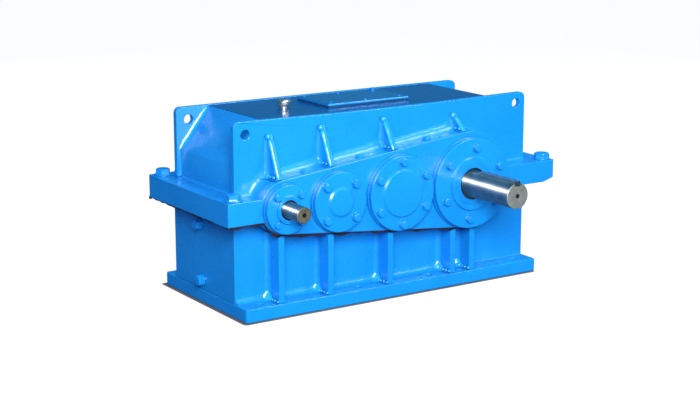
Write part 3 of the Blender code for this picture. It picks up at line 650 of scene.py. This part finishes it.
def shaft_ends():
    """The round shaft ends outside the case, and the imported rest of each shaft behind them."""
    root = -0.160
    shoulder = -(COVER_Y + 0.003)
    drill = 0.0050
    table = (
        ("input", "input_pinion_shaft", 0.018, 0.019, INPUT_END_SHADED),
        ("output", "output_shaft", 0.030, 0.034, OUTPUT_END),
    )
    for name, node, radius, neck, end_finish in table:
        end = span(node, Y)[0]
        profile = [
            (0, end + 0.020), (drill * 0.4, end + 0.018), (drill * 0.4, end + 0.010), (drill, end),
            (radius - 0.0018, end), (radius, end + 0.0018), (radius, shoulder), (neck, shoulder),
            (neck, root), (0, root),
        ]
        radii = [0, 0, 0.0003, 0.0003, 0.0004, 0.0004, 0.0006, 0.0004, 0, 0]
        shape = lathe(rounded(profile, radii, 3, closed=False), 128, closed=False)
        if name == "output":
            slot = prism(Y, rectangle((-0.0093, 0.0093), (0.0227, 0.040)), end - 0.005, -0.2397)
            shape = carved(shape, cuts=[slot])
        for face in shape.faces:
            middle = face.calc_center_median()
            if middle.y < end + 0.0016:
                face.material_index = 1
            # The faces inside the centre hole get the near-black painted shade.
            if all(Vector((vert.co.x, vert.co.z)).length < drill + 0.0003 for vert in face.verts):
                face.material_index = 2
        SHAFT_ENDS.append(piece(
            f"{name}_shaft_end", shape, SHAFT_STEEL, [node], name, JOINTS[name]["pos_m"],
            spare=(end_finish, CENTRE_HOLE_SHADE),
        ))
        behind = cad_copy(node)
        everything = [*behind.verts, *behind.edges, *behind.faces]
        cut = bmesh.ops.bisect_plane(
            behind, geom=everything, plane_co=(0, root + GAP, 0), plane_no=(0, 1, 0), clear_inner=True
        )
        rim = [edge for edge in cut["geom_cut"] if isinstance(edge, bmesh.types.BMEdge)]
        bmesh.ops.holes_fill(behind, edges=rim)
        piece(f"{name}_shaft_body", behind, SHAFT_STEEL, [node], name)


def key():
    low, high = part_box("output_shaft_key")
    shape = prism(Y, rectangle((low.x, high.x), (low.z, high.z)), low.y, high.y)
    made = piece("shaft_key", shape, KEY_STEEL, ["output_shaft_key"], "output")
    soften(made, 0.0006, segments=2)


def hidden_parts():
    """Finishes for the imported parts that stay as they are."""
    for name, node in frame["nodes"].items():
        if name.endswith("_ring"):
            finish, slot = BEARING_STEEL, "bearing_steel"
        elif name.endswith("_gear"):
            finish, slot = GEAR_STEEL, "gear_steel"
        elif name in ("intermediate_1_pinion_shaft", "intermediate_2_pinion_shaft"):
            finish, slot = SHAFT_STEEL, "shaft_steel"
        elif name == "output_gear_key":
            finish, slot = KEY_STEEL, "key_steel"
        else:
            continue
        node.data.materials.clear()
        node.data.materials.append(finish)


# Fasteners

def hexagon_head(across, height, washer, foot):
    """A hexagon head with its chamfered top, on a washer that is foot high and stands on the XY plane."""
    half = across / 2
    flat = half * 0.94
    angles = [2 * pi * i / 36 for i in range(36)]
    corner = [half / cos((a % (pi / 3)) - pi / 6) for a in angles]
    edge = ((washer, 0.0), (washer, foot * 0.7), (washer - foot * 0.3, foot))
    rows = [[point] * len(angles) for point in edge]
    rows.append([(r * 1.02, foot) for r in corner])
    rows.append([(r, foot + 0.0005) for r in corner])
    rows.append([(r, foot + height - (r - flat) * tan(pi / 6) * 1.1 - 0.0004) for r in corner])
    rows.append([(r - 0.0004, foot + height - (r - flat) * tan(pi / 6)) for r in corner])
    rows.append([(flat, foot + height) for _ in angles])
    rows.append([(flat * 0.8, foot + height) for _ in angles])
    return solid([[(r * cos(a), r * sin(a), z) for (r, z), a in zip(row, angles)] for row in rows])


def joined(shapes):
    """Several bmeshes in one, where they are."""
    return gathered((shape, Matrix.Identity(4)) for shape in shapes)


def gathered(parts):
    """Several bmeshes, each with its place, in one."""
    result = bmesh.new()
    for shape, matrix in parts:
        mesh = bpy.data.meshes.new("part")
        moved(shape, matrix).to_mesh(mesh)
        shape.free()
        result.from_mesh(mesh)
        bpy.data.meshes.remove(mesh)
    return result


def facing(side, place, turn=0.0):
    """Places a head that stands on the XY plane onto a face whose normal is side times Y."""
    stand = Matrix.Rotation(side * -pi / 2, 4, "X")
    return Matrix.Translation(place) @ stand @ Matrix.Rotation(turn, 4, "Z")


def fasteners(name, parts, replaces=()):
    """Bolts, screws or plugs, each with its place, as one painted piece."""
    return piece(name, gathered(parts), FASTENER_PAINT, replaces)


def cover_bolts():
    """The screws round each cover: count, circle radius, first angle and width across flats."""
    table = {
        "input": (4, 0.0427, 45, 0.0135),
        "intermediate_1": (4, 0.0535, 45, 0.0165),
        "intermediate_2": (6, 0.0725, 30, 0.0165),
        "output": (6, 0.0840, 24, 0.0165),
    }
    for name, (count, circle_radius, first, across) in table.items():
        x, _, z = JOINTS[name]["pos_m"]
        for side, place in SIDES:
            heads = []
            for k in range(count):
                angle = radians(first + 360 * k / count)
                spot = (x + circle_radius * cos(angle), side * COVER_Y, z + circle_radius * sin(angle))
                turn = 0.35 * sin(7.3 * k + 3.1 * count + side)
                head = hexagon_head(across, across * 0.44, across * 0.62, 0.0018)
                heads.append((head, facing(side, spot, turn)))
            fasteners(f"{name}_{place}_cover_bolts", heads)


def flange_bolts():
    for side, place in SIDES:
        for end, where in ENDS:
            node = f"flange_bolt_{place}_{where}"
            low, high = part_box(node)
            spot = Matrix.Translation(((low.x + high.x) / 2, (low.y + high.y) / 2, FLANGE_TOP + GAP))
            turn = Matrix.Rotation(0.3 * end + 0.2 * side, 4, "Z")
            across = 0.033 if end > 0 else 0.030
            head = hexagon_head(across, high.z - FLANGE_TOP - GAP - 0.003, 0.020, 0.003)
            shank = prism(Z, circle((0, 0), 0.009, 32), low.z - FLANGE_TOP - GAP, 0.0005)
            fasteners(f"{node}_painted", [(head, spot @ turn), (shank, spot)], [node])


def block_bolts():
    """The clamping bolts beside the bearings, set upright into the sloping top of the block."""
    edge = block_top()
    for side, place in SIDES:
        heads = []
        for k, x in enumerate((-0.239, -0.094, 0.091)):
            z = height_at(edge, x)
            slope = (height_at(edge, x + 0.01) - height_at(edge, x - 0.01)) / 0.02
            tilt = Matrix.Rotation(-slope, 4, "Y")
            spot = Matrix.Translation((x, side * BOLT_Y, z))
            head = hexagon_head(0.017, 0.0045, 0.0105, 0.0012)
            heads.append((head, spot @ tilt @ Matrix.Rotation(k, 4, "Z")))
        fasteners(f"{place}_block_bolts", heads)


def plugs():
    for node in ("drain_plug", "oil_level_plug"):
        low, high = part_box(node)
        middle = (low + high) / 2
        spot = Matrix.Translation((LOWER_LEFT_X - GAP, middle.y, middle.z)) @ Matrix.Rotation(-pi / 2, 4, "Y")
        head = hexagon_head(0.0215, 0.0105, 0.0145, 0.004)
        thread = prism(Z, circle((0, 0), 0.0088, 32), -0.009, 0.0005)
        fasteners(f"{node}_painted", [(head, spot), (thread, spot)], [node])


def hatch():
    low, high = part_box("inspection_cover")
    shape = prism(Z, rounded(rectangle((low.x, high.x), (low.y, high.y)), 0.003, 4), low.z, high.z)
    lid = piece("inspection_lid", shape, LID_PAINT, ["inspection_cover"])
    soften(lid, 0.0028)
    piece("inspection_seal", cad_copy("inspection_gasket"), GASKET, ["inspection_gasket"])
    heads = []
    for y, places in ((low.y + 0.016, (-0.092, 0.002, 0.097)), (high.y - 0.016, (-0.099, -0.006, 0.094))):
        for x in places:
            spot = Matrix.Translation((x, y, high.z))
            large = y > 0 and x > 0.05
            size = (0.012, 0.004, 0.008, 0.001) if large else (0.008, 0.0018, 0.005, 0.0004)
            heads.append((hexagon_head(*size), spot @ Matrix.Rotation(9 * x, 4, "Z")))
    screws = fasteners("inspection_lid_screws", heads)
    UNLIT.extend((lid, screws))
    LID_PIECES.extend((lid, screws))


def breather():
    low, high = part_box("breather_cap")
    x = (low.x + high.x) / 2
    radius = radius_of("breather_cap")
    height = high.z - low.z
    upright = Matrix.Rotation(pi / 2, 4, "X")
    profile = [
        (0, 0.0), (radius * 0.80, 0.0), (radius * 0.80, height * 0.14), (radius, height * 0.14),
        (radius, height * 0.72), (radius * 0.86, height), (0, height),
    ]
    smooth = rounded(profile, [0, 0.0003, 0.0006, 0.0012, 0.002, 0.002, 0], 4, closed=False)
    shape = moved(lathe(smooth, closed=False), Matrix.Translation((x, 0, low.z)) @ upright)
    vents = []
    for k in range(6):
        angle = radians(-100 + 60 * k)
        vent = prism(X, circle((0, 0), 0.0017, 20), radius * 0.7, radius * 1.2)
        place = Matrix.Translation((x, 0, low.z + height * 0.50)) @ Matrix.Rotation(angle, 4, "Z")
        vents.append(moved(vent, place))
    piece("breather_vent_cap", carved(shape, cuts=vents), ZINC, ["breather_cap"])
    stem_low, stem_high = span("breather_stem", Z)
    bore = [(0.004, stem_low), (0.010, stem_low), (0.010, stem_high), (0.004, stem_high)]
    stem = moved(lathe(rounded(bore, 0.0004, 3)), Matrix.Translation((x, 0, 0)) @ upright)
    piece("breather_threaded_stem", stem, ZINC, ["breather_stem"])


# Weld beads

BEAD_STEP = 0.003
FLARE_LENGTH = 0.030


def bead_rows(points, first, second, leg, seed, flare):
    """Evenly spaced rows along a seam: place, the two face directions, and the leg at that place.

    flare is how much wider the bead grows towards its first and its last point.
    """
    rows = []
    lengths = [(Vector(b) - Vector(a)).length for a, b in zip(points, points[1:])]
    total = sum(lengths)
    steps = max(3, int(total / BEAD_STEP))
    for i in range(steps + 1):
        wanted = total * i / steps
        k = 0
        passed = 0.0
        while k < len(lengths) - 1 and passed + lengths[k] < wanted:
            passed += lengths[k]
            k += 1
        t = (wanted - passed) / max(lengths[k], 1e-9)
        place = Vector(points[k]).lerp(Vector(points[k + 1]), min(t, 1.0))
        a = first[k] if isinstance(first, list) else first
        b = second[k] if isinstance(second, list) else second
        here = place * 60 + Vector((seed, 0, 0))
        swell = 1 + 0.16 * noise.noise(here) + 0.05 * noise.noise(place * 190 + Vector((0, seed, 0)))
        swell += flare[0] * exp(-wanted / FLARE_LENGTH) + flare[1] * exp((wanted - total) / FLARE_LENGTH)
        taper = 1.0 if any(flare) else min(1.0, 0.55 + min(wanted, total - wanted) / (2 * leg) * 0.45)
        rows.append((place, Vector(a), Vector(b), leg * swell * taper))
    return rows


def bead(points, first, second, leg, seed, fullness=0.30, flare=(0.0, 0.0)):
    """A weld fillet in the corner between two faces, slightly hollow, with uneven ripples."""
    rings = []
    steps = 8
    sink = 0.0003
    for place, a, b, size in bead_rows(points, first, second, leg, seed, flare):
        outward = (a + b).normalized()
        ring = [place - outward * 0.0006]
        ripple = noise.noise(place * 330 + Vector((seed, seed, 0))) * 0.018 * size
        for k in range(steps + 1):
            t = k / steps
            hollow = a * (size * (1 - t) ** 2) + b * (size * t * t)
            flat = a * (size * (1 - t)) + b * (size * t)
            point = hollow.lerp(flat, fullness) + outward * ripple * sin(pi * t)
            if k == 0:
                point = point - b * sink
            if k == steps:
                point = point - a * sink
            ring.append(place + point)
        rings.append(ring)
    return solid(rings)


def corner_patch(place, ways, reach, seed):
    """A hollow web of weld metal in the corner between three faces, whose edges run along three ways."""
    shape = bmesh.new()
    steps = 12
    centre = shape.verts.new(place)
    grid = {}
    for i in range(steps + 1):
        for j in range(steps + 1 - i):
            parts = (i / steps, j / steps, (steps - i - j) / steps)
            point = Vector(place)
            for part, way in zip(parts, ways):
                point += way * (reach * part ** 1.45)
            lump = min(parts) * 3 * noise.noise(point * 160 + Vector((seed, 0, 0)))
            point += sum(ways, Vector()) * (0.0008 + 0.0012 * lump)
            grid[i, j] = shape.verts.new(point)
    for i in range(steps):
        for j in range(steps - i):
            shape.faces.new((grid[i, j], grid[i + 1, j], grid[i, j + 1]))
            if i + j < steps - 1:
                shape.faces.new((grid[i + 1, j], grid[i + 1, j + 1], grid[i, j + 1]))
    rim = [grid[k, 0] for k in range(steps)]
    rim += [grid[steps - k, k] for k in range(steps)]
    rim += [grid[0, steps - k] for k in range(steps)]
    for near, far in zip(rim, rim[1:] + rim[:1]):
        shape.faces.new((near, far, centre))
    return shape


def blob(place, radius):
    """A small drop of weld metal."""
    shape = bmesh.new()
    bmesh.ops.create_icosphere(shape, subdivisions=3, radius=radius, matrix=Matrix.Translation(place))
    return shape


def drops(start, end, parts, radius, spread, seed):
    """Drops of uneven size at some parts of the way between two points."""
    row = []
    for k, part in enumerate(parts):
        size = radius + spread * noise.noise((seed + 0.3, k + 0.4, 0.5))
        row.append(blob(Vector(start).lerp(Vector(end), part), size))
    return row


def weld(name, shapes, sparkling=False):
    """Several beads and drops as one painted piece."""
    made = piece(name, joined(shapes), RIDGE_PAINT if sparkling else BEAD_PAINT, sharp=80)
    if sparkling:
        SPARKLING.append(made)


def gaps_between(places, half):
    """The stretches of a side plate that ribs or gussets leave between them."""
    stops = [-CASE_X]
    for x in places:
        stops += [x - half, x + half]
    stops.append(CASE_X)
    return list(zip(stops[::2], stops[1::2]))


def stretch(edge, low, high):
    """Points of a left-to-right edge between two x values."""
    kept = [(low, height_at(edge, low))]
    kept += [point for point in edge if low < point[0] < high]
    kept.append((high, height_at(edge, high)))
    return kept


def beads():
    for side, place in SIDES:
        seeds = count(11 if side == FRONT else 41)
        lower_beads(side, place, seeds)
        upper_beads(side, place, seeds)
    for end, place in ENDS:
        end_beads(end, place)


def lower_beads(side, place, seeds):
    """Seams of a lower side plate: to the base and to its ribs."""
    out = Vector((0, side, 0))
    wall = side * WALL_OUT
    edge = side * (RIB_Y - 0.001)
    bottom = block_bottom()
    plain = []
    ridges = []
    for low, high in gaps_between(RIB_X, RIB_HALF):
        last = high == CASE_X
        flare = (0.0, 0.0 if last else 0.7)
        leg = 0.003 if last else 0.0130
        foot = [(low, wall, BASE_TOP), (high, wall, BASE_TOP)]
        plain.append(bead(foot, out, UP, leg, next(seeds), 0.05, flare))
    for x in RIB_X:
        for way, face in ((LEFT, x - RIB_HALF), (RIGHT, x + RIB_HALF)):
            seed = next(seeds)
            outer = way == LEFT
            head = height_at(bottom, face) - 0.002
            corner = (face, wall, BASE_TOP)
            flare = (0.3 if outer else 0.1, 0.0)
            plain.append(bead([corner, (face, wall, head)], way, out, 0.0095, seed, flare=flare))
            plain.append(bead([corner, (face, edge, BASE_TOP)], way, UP, 0.0075, seed + 7))
            plain.append(bead([(face, wall, head), (face, edge, head)], way, DOWN, 0.0055, seed + 9))
            patch = corner_patch(corner, (way, out, UP), 0.034 if outer else 0.020, seed)
            if outer:
                height = BASE_TOP + 0.0045
                start, end = (face - 0.0055, wall, height), (face - 0.0025, side * RIB_Y, height)
                ridges += [patch, *drops(start, end, (0.30, 0.52, 0.74, 0.98), 0.0036, 0.0014, seed)]
            else:
                plain.append(patch)
    weld(f"lower_{place}_welds", plain)
    weld(f"lower_{place}_drops", ridges, True)


def upper_beads(side, place, seeds):
    """Seams of an upper side plate: to the bearing block and to its gussets."""
    out = Vector((0, side, 0))
    wall = side * WALL_OUT
    ledge = side * (WALL_OUT + GUSSET_FOOT - 0.002)
    top = block_top()
    plain = []
    ridges = []
    for low, high in gaps_between(GUSSET_X, GUSSET_HALF):
        run = stretch(top, low, high)
        normals = [Vector((z0 - z1, 0, x1 - x0)).normalized() for (x0, z0), (x1, z1) in zip(run, run[1:])]
        leg, flare = (0.005, (0.0, 0.0)) if high == CASE_X else (0.0185, (-0.2, 0.5))
        plain.append(bead([(x, wall, z) for x, z in run], out, normals, leg, next(seeds), 0.0, flare))
    for x, crest in zip(GUSSET_X, GUSSET_TOPS):
        for way, face in ((LEFT, x - GUSSET_HALF), (RIGHT, x + GUSSET_HALF)):
            seed = next(seeds)
            outer = way == LEFT
            foot = height_at(top, face)
            corner = (face, wall, foot)
            flare = (0.7 if outer else 0.2, 0.0)
            plain.append(bead([corner, (face, wall, crest)], way, out, 0.0080, seed, flare=flare))
            plain.append(corner_patch(corner, (way, out, UP), 0.030 if outer else 0.016, seed))
            plain.append(bead([corner, (face, ledge, foot)], way, UP, 0.0085, seed + 5))
        face = x - GUSSET_HALF
        across = [(face, wall, crest), (x + GUSSET_HALF, wall, crest)]
        plain.append(bead(across, out, UP, 0.0090, seed + 3))
        brow = [(face, wall + side * 0.006, crest), (face, wall + side * GUSSET_FOOT, foot)]
        ridges.append(bead(brow, Vector((0, side * 0.935, 0.355)), LEFT, 0.0042, seed + 2, 1.3))
        ridges.append(blob((face - 0.0015, wall + side * 0.0055, crest + 0.001), 0.0068))
        height = height_at(top, x) + 0.0050
        start, end = (face - 0.0055, wall, height), (face - 0.0035, wall + side * GUSSET_FOOT, height)
        ridges += drops(start, end, (0.15, 0.45, 0.75), 0.0034, 0.0012, seed)
    weld(f"upper_{place}_welds", plain)
    weld(f"upper_{place}_ridges", ridges, True)


def end_beads(end, place):
    """Seams of an end wall: to the base, to the flange strip and to the side plates."""
    out = Vector((end, 0, 0))
    inside = WALL_IN - GAP
    lower_x = end * 0.398
    upper_x = end * 0.390
    slope_x = -0.3157 if end < 0 else 0.3033
    fold_z = 0.333
    crest = CASE_TOP - 0.006
    crest_x = upper_x + (slope_x - upper_x) * (crest - fold_z) / (CASE_TOP - 0.001 - fold_z)
    slant = Vector((slope_x - upper_x, 0, CASE_TOP - 0.001 - fold_z)).normalized()
    face = Vector((end * abs(slant.z), 0, abs(slant.x)))
    plain = []
    ridges = []
    for x, z, way, leg, seed in (
        (lower_x, BASE_TOP, UP, 0.003, 3),
        (lower_x, FLANGE_BOTTOM, DOWN, 0.006, 6),
        (upper_x, FLANGE_TOP, UP, 0.004, 9),
    ):
        plain.append(bead([(x, -inside, z), (x, inside, z)], out, way, leg, seed + end))
    for side, _ in SIDES:
        inward = Vector((0, -side, 0))
        y = side * WALL_IN
        fold = (upper_x, y, fold_z)
        plain.append(bead([(upper_x, y, FLANGE_TOP), fold], out, inward, 0.0035, 12 + end + side))
        ridges.append(bead([fold, (crest_x, y, crest)], face, inward, 0.0095, 15 + end + side))
    weld(f"{place}_end_welds", plain)
    weld(f"{place}_fold_welds", ridges, True)


def ragged(low, high, out, depth, seed):
    """A thin strip that hangs from the line high towards the line low, with an uneven edge."""
    rings = []
    low, high = [[Vector(point) for point in line] for line in (low, high)]
    for i in range(len(low) - 1):
        steps = max(1, int((low[i + 1] - low[i]).length / 0.002))
        for k in range(steps + (i == len(low) - 2)):
            foot = low[i].lerp(low[i + 1], k / steps)
            head = high[i].lerp(high[i + 1], k / steps)
            wave = noise.noise(foot * 34 + Vector((seed, 0, 0)))
            tip = head.lerp(foot, min(1.0, max(0.40, 0.58 + 1.1 * wave)))
            inner = out * depth
            rings.append((head, tip, tip - inner, head - inner))
    return solid(rings)


def bare_and_shaded_edges():
    """The torch-cut lower edges of the flange, with a dark ragged strip hung below them: bare metal, and
    painted shade where the flange overhangs the wall.
    """
    high, low = block_bottom(-0.0006)[:-8], block_bottom(0.0075)[:-8]
    for side, place in SIDES:
        y = side * (FLANGE_Y - 0.0012)
        lines = [[(x, y, z) for x, z in line] for line in (low, high)]
        shapes = [ragged(*lines, Vector((0, side, 0)), 0.006, 3 + side)]
        if side == FRONT:
            reach = FLANGE_Y - 0.006
            x = FLANGE_LEFT + 0.0012
            heights = (FLANGE_BOTTOM - 0.0045, FLANGE_BOTTOM + 0.0006)
            lines = [[(x, -reach, z), (x, reach, z)] for z in heights]
            shapes.append(ragged(*lines, LEFT, 0.006, 8))
        # The strip's near-black colour stands for bare metal and for painted shade below the overhang.
        piece(f"{place}_bare_edge", joined(shapes), EDGE_BARE_AND_SHADED)


# Studio

def shader_by_ray(tree, seen, felt):
    """One shader for what the camera sees, and another for the light that reaches the object."""
    path = tree.nodes.new("ShaderNodeLightPath")
    pick = tree.nodes.new("ShaderNodeMixShader")
    tree.links.new(path.outputs["Is Camera Ray"], pick.inputs["Fac"])
    tree.links.new(felt, pick.inputs[1])
    tree.links.new(seen, pick.inputs[2])
    return pick.outputs[0]


def backdrop():
    """White surroundings, which light the object only faintly."""
    world = bpy.data.worlds.new("studio")
    bpy.context.scene.world = world
    world.use_nodes = True
    tree = world.node_tree
    tree.nodes.clear()
    seen = tree.nodes.new("ShaderNodeBackground")
    seen.inputs["Color"].default_value = (1, 1, 1, 1)
    felt = tree.nodes.new("ShaderNodeBackground")
    felt.inputs["Color"].default_value = (0.09, 0.52, 1.0, 1)
    felt.inputs["Strength"].default_value = 0.40
    out = tree.nodes.new("ShaderNodeOutputWorld")
    tree.links.new(shader_by_ray(tree, seen.outputs[0], felt.outputs[0]), out.inputs["Surface"])


def floor_plane():
    """A white floor with a painted contact shadow, a thin dark line where the base stands on it, left out
    along its right end.
    """
    shape = bmesh.new()
    bmesh.ops.create_grid(shape, x_segments=1, y_segments=1, size=40)
    ground = added("floor", shape)
    g = Graph("floor")
    # Painted contact shadow: the floor glows less within about a centimetre of the base's outline.
    low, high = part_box("base_plate")
    right_end = high.x - 0.014
    beyond = g.vector("ABSOLUTE", g.vector("SUBTRACT", g.place, ((low.x + right_end) / 2, 0, 0)))
    beyond = g.vector("SUBTRACT", beyond, ((right_end - low.x) / 2, high.y, 0))
    contact_shadow_distance = g.vector("LENGTH", g.vector("MAXIMUM", beyond))
    g.shade(
        Base_Color=g.mix(g.ramp(g.noise(0.6), 0.3, 0.7), (0.09, 0.09, 0.09), (0.11, 0.11, 0.11)),
        Roughness=0.9,
        Specular_IOR_Level=0.0,
        Emission_Color=(1, 1, 1),
        Emission_Strength=g.ramp(contact_shadow_distance, 0.008, 0.011, 0.02, 0.95),
    )
    felt = g.add("ShaderNodeBsdfDiffuse", Color=(0.04, 0.10, 0.18))
    out = next(node for node in g.tree.nodes if node.type == "OUTPUT_MATERIAL")
    surface = shader_by_ray(g.tree, g.shader.outputs[0], felt.outputs[0])
    g.tree.links.new(surface, out.inputs["Surface"])
    ground.data.materials.append(g.material)


def softbox(name, direction, distance, size, power):
    """A square soft light that looks at the middle of the gearbox from a direction."""
    light = bpy.data.lights.new(name, "AREA")
    light.shape = "RECTANGLE"
    light.size, light.size_y = size
    light.energy = power
    lamp = added(name, light)
    way = Vector(direction).normalized()
    lamp.location = Vector((0, 0, 0.22)) + way * distance
    lamp.rotation_mode = "QUATERNION"
    lamp.rotation_quaternion = way.to_track_quat("Z", "Y")
    return lamp


def studio():
    """White surroundings, soft lights for all but a few pieces, and small lights for those few."""
    bpy.context.scene.view_settings.view_transform = "Standard"
    backdrop()
    floor_plane()
    key_light = softbox("key", (-0.44, -0.76, 0.40), 3.5, (1.4, 1.4), 168)
    overhead = softbox("overhead", (0.30, -0.28, 0.92), 2.6, (1.0, 1.0), 36)
    accent = softbox("accent", (0.54, -0.76, 0.38), 3.5, (0.5, 0.4), 16)
    share(UNLIT + SHAFT_ENDS, "EXCLUDE", key_light, overhead, accent)
    grazing = softbox("grazing", (-0.35, -0.93, 0.12), 3.0, (0.6, 0.4), 110)
    share(LID_PIECES, "INCLUDE", grazing, softbox("glint", (0.54, -0.76, 0.38), 3.0, (0.4, 1.3), 24))
    share(SPARKLING, "INCLUDE", softbox("sparkle", (-0.44, -0.76, 0.40), 3.5, (0.6, 0.6), 55))
    share(SHAFT_ENDS, "INCLUDE", softbox("streak", (-0.66, -0.62, 0.42), 3.5, (0.22, 0.22), 190))
    softbox("fill", (0.05, -0.99, 0.04), 3.5, (1.5, 1.0), 28).visible_glossy = False
    softbox("from_behind", (-0.10, 0.99, 0.08), 4.0, (1.6, 1.2), 110).visible_glossy = False
    softbox("from_the_right", (0.97, 0.22, 0.10), 4.0, (1.6, 1.2), 90).visible_glossy = False


def share(pieces, state, *lights):
    """Lets lights reach some pieces only, or all but them."""
    group = bpy.data.collections.new(f"{lights[0].name}_{state.lower()}")
    for made in pieces:
        group.objects.link(made)
    for entry in group.collection_objects:
        entry.light_linking.link_state = state
    for light in lights:
        light.light_linking.receiver_collection = group


def camera():
    """Stands to the front left of the gearbox and a little above it, with a long lens."""
    lens = bpy.data.cameras.new("camera")
    lens.lens = 80.75
    lens.sensor_width = 36
    lens.clip_end = 200
    stand = added("camera", lens)
    right = Vector((0.8358, -0.5490, 0.0))
    up = Vector((0.1206, 0.1836, 0.9756))
    back = Vector((-0.5356, -0.8154, 0.2197))
    turn = Matrix((right, up, back)).transposed()
    stand.matrix_world = Matrix.Translation((-2.0014, -3.0315, 1.0071)) @ turn.to_4x4()
    bpy.context.scene.camera = stand


def main():
    camera()
    case_plates()
    base()
    bearing_blocks()
    covers()
    seals()
    shaft_ends()
    key()
    hidden_parts()
    cover_bolts()
    flange_bolts()
    block_bolts()
    plugs()
    hatch()
    breather()
    beads()
    bare_and_shaded_edges()
    studio()


main()
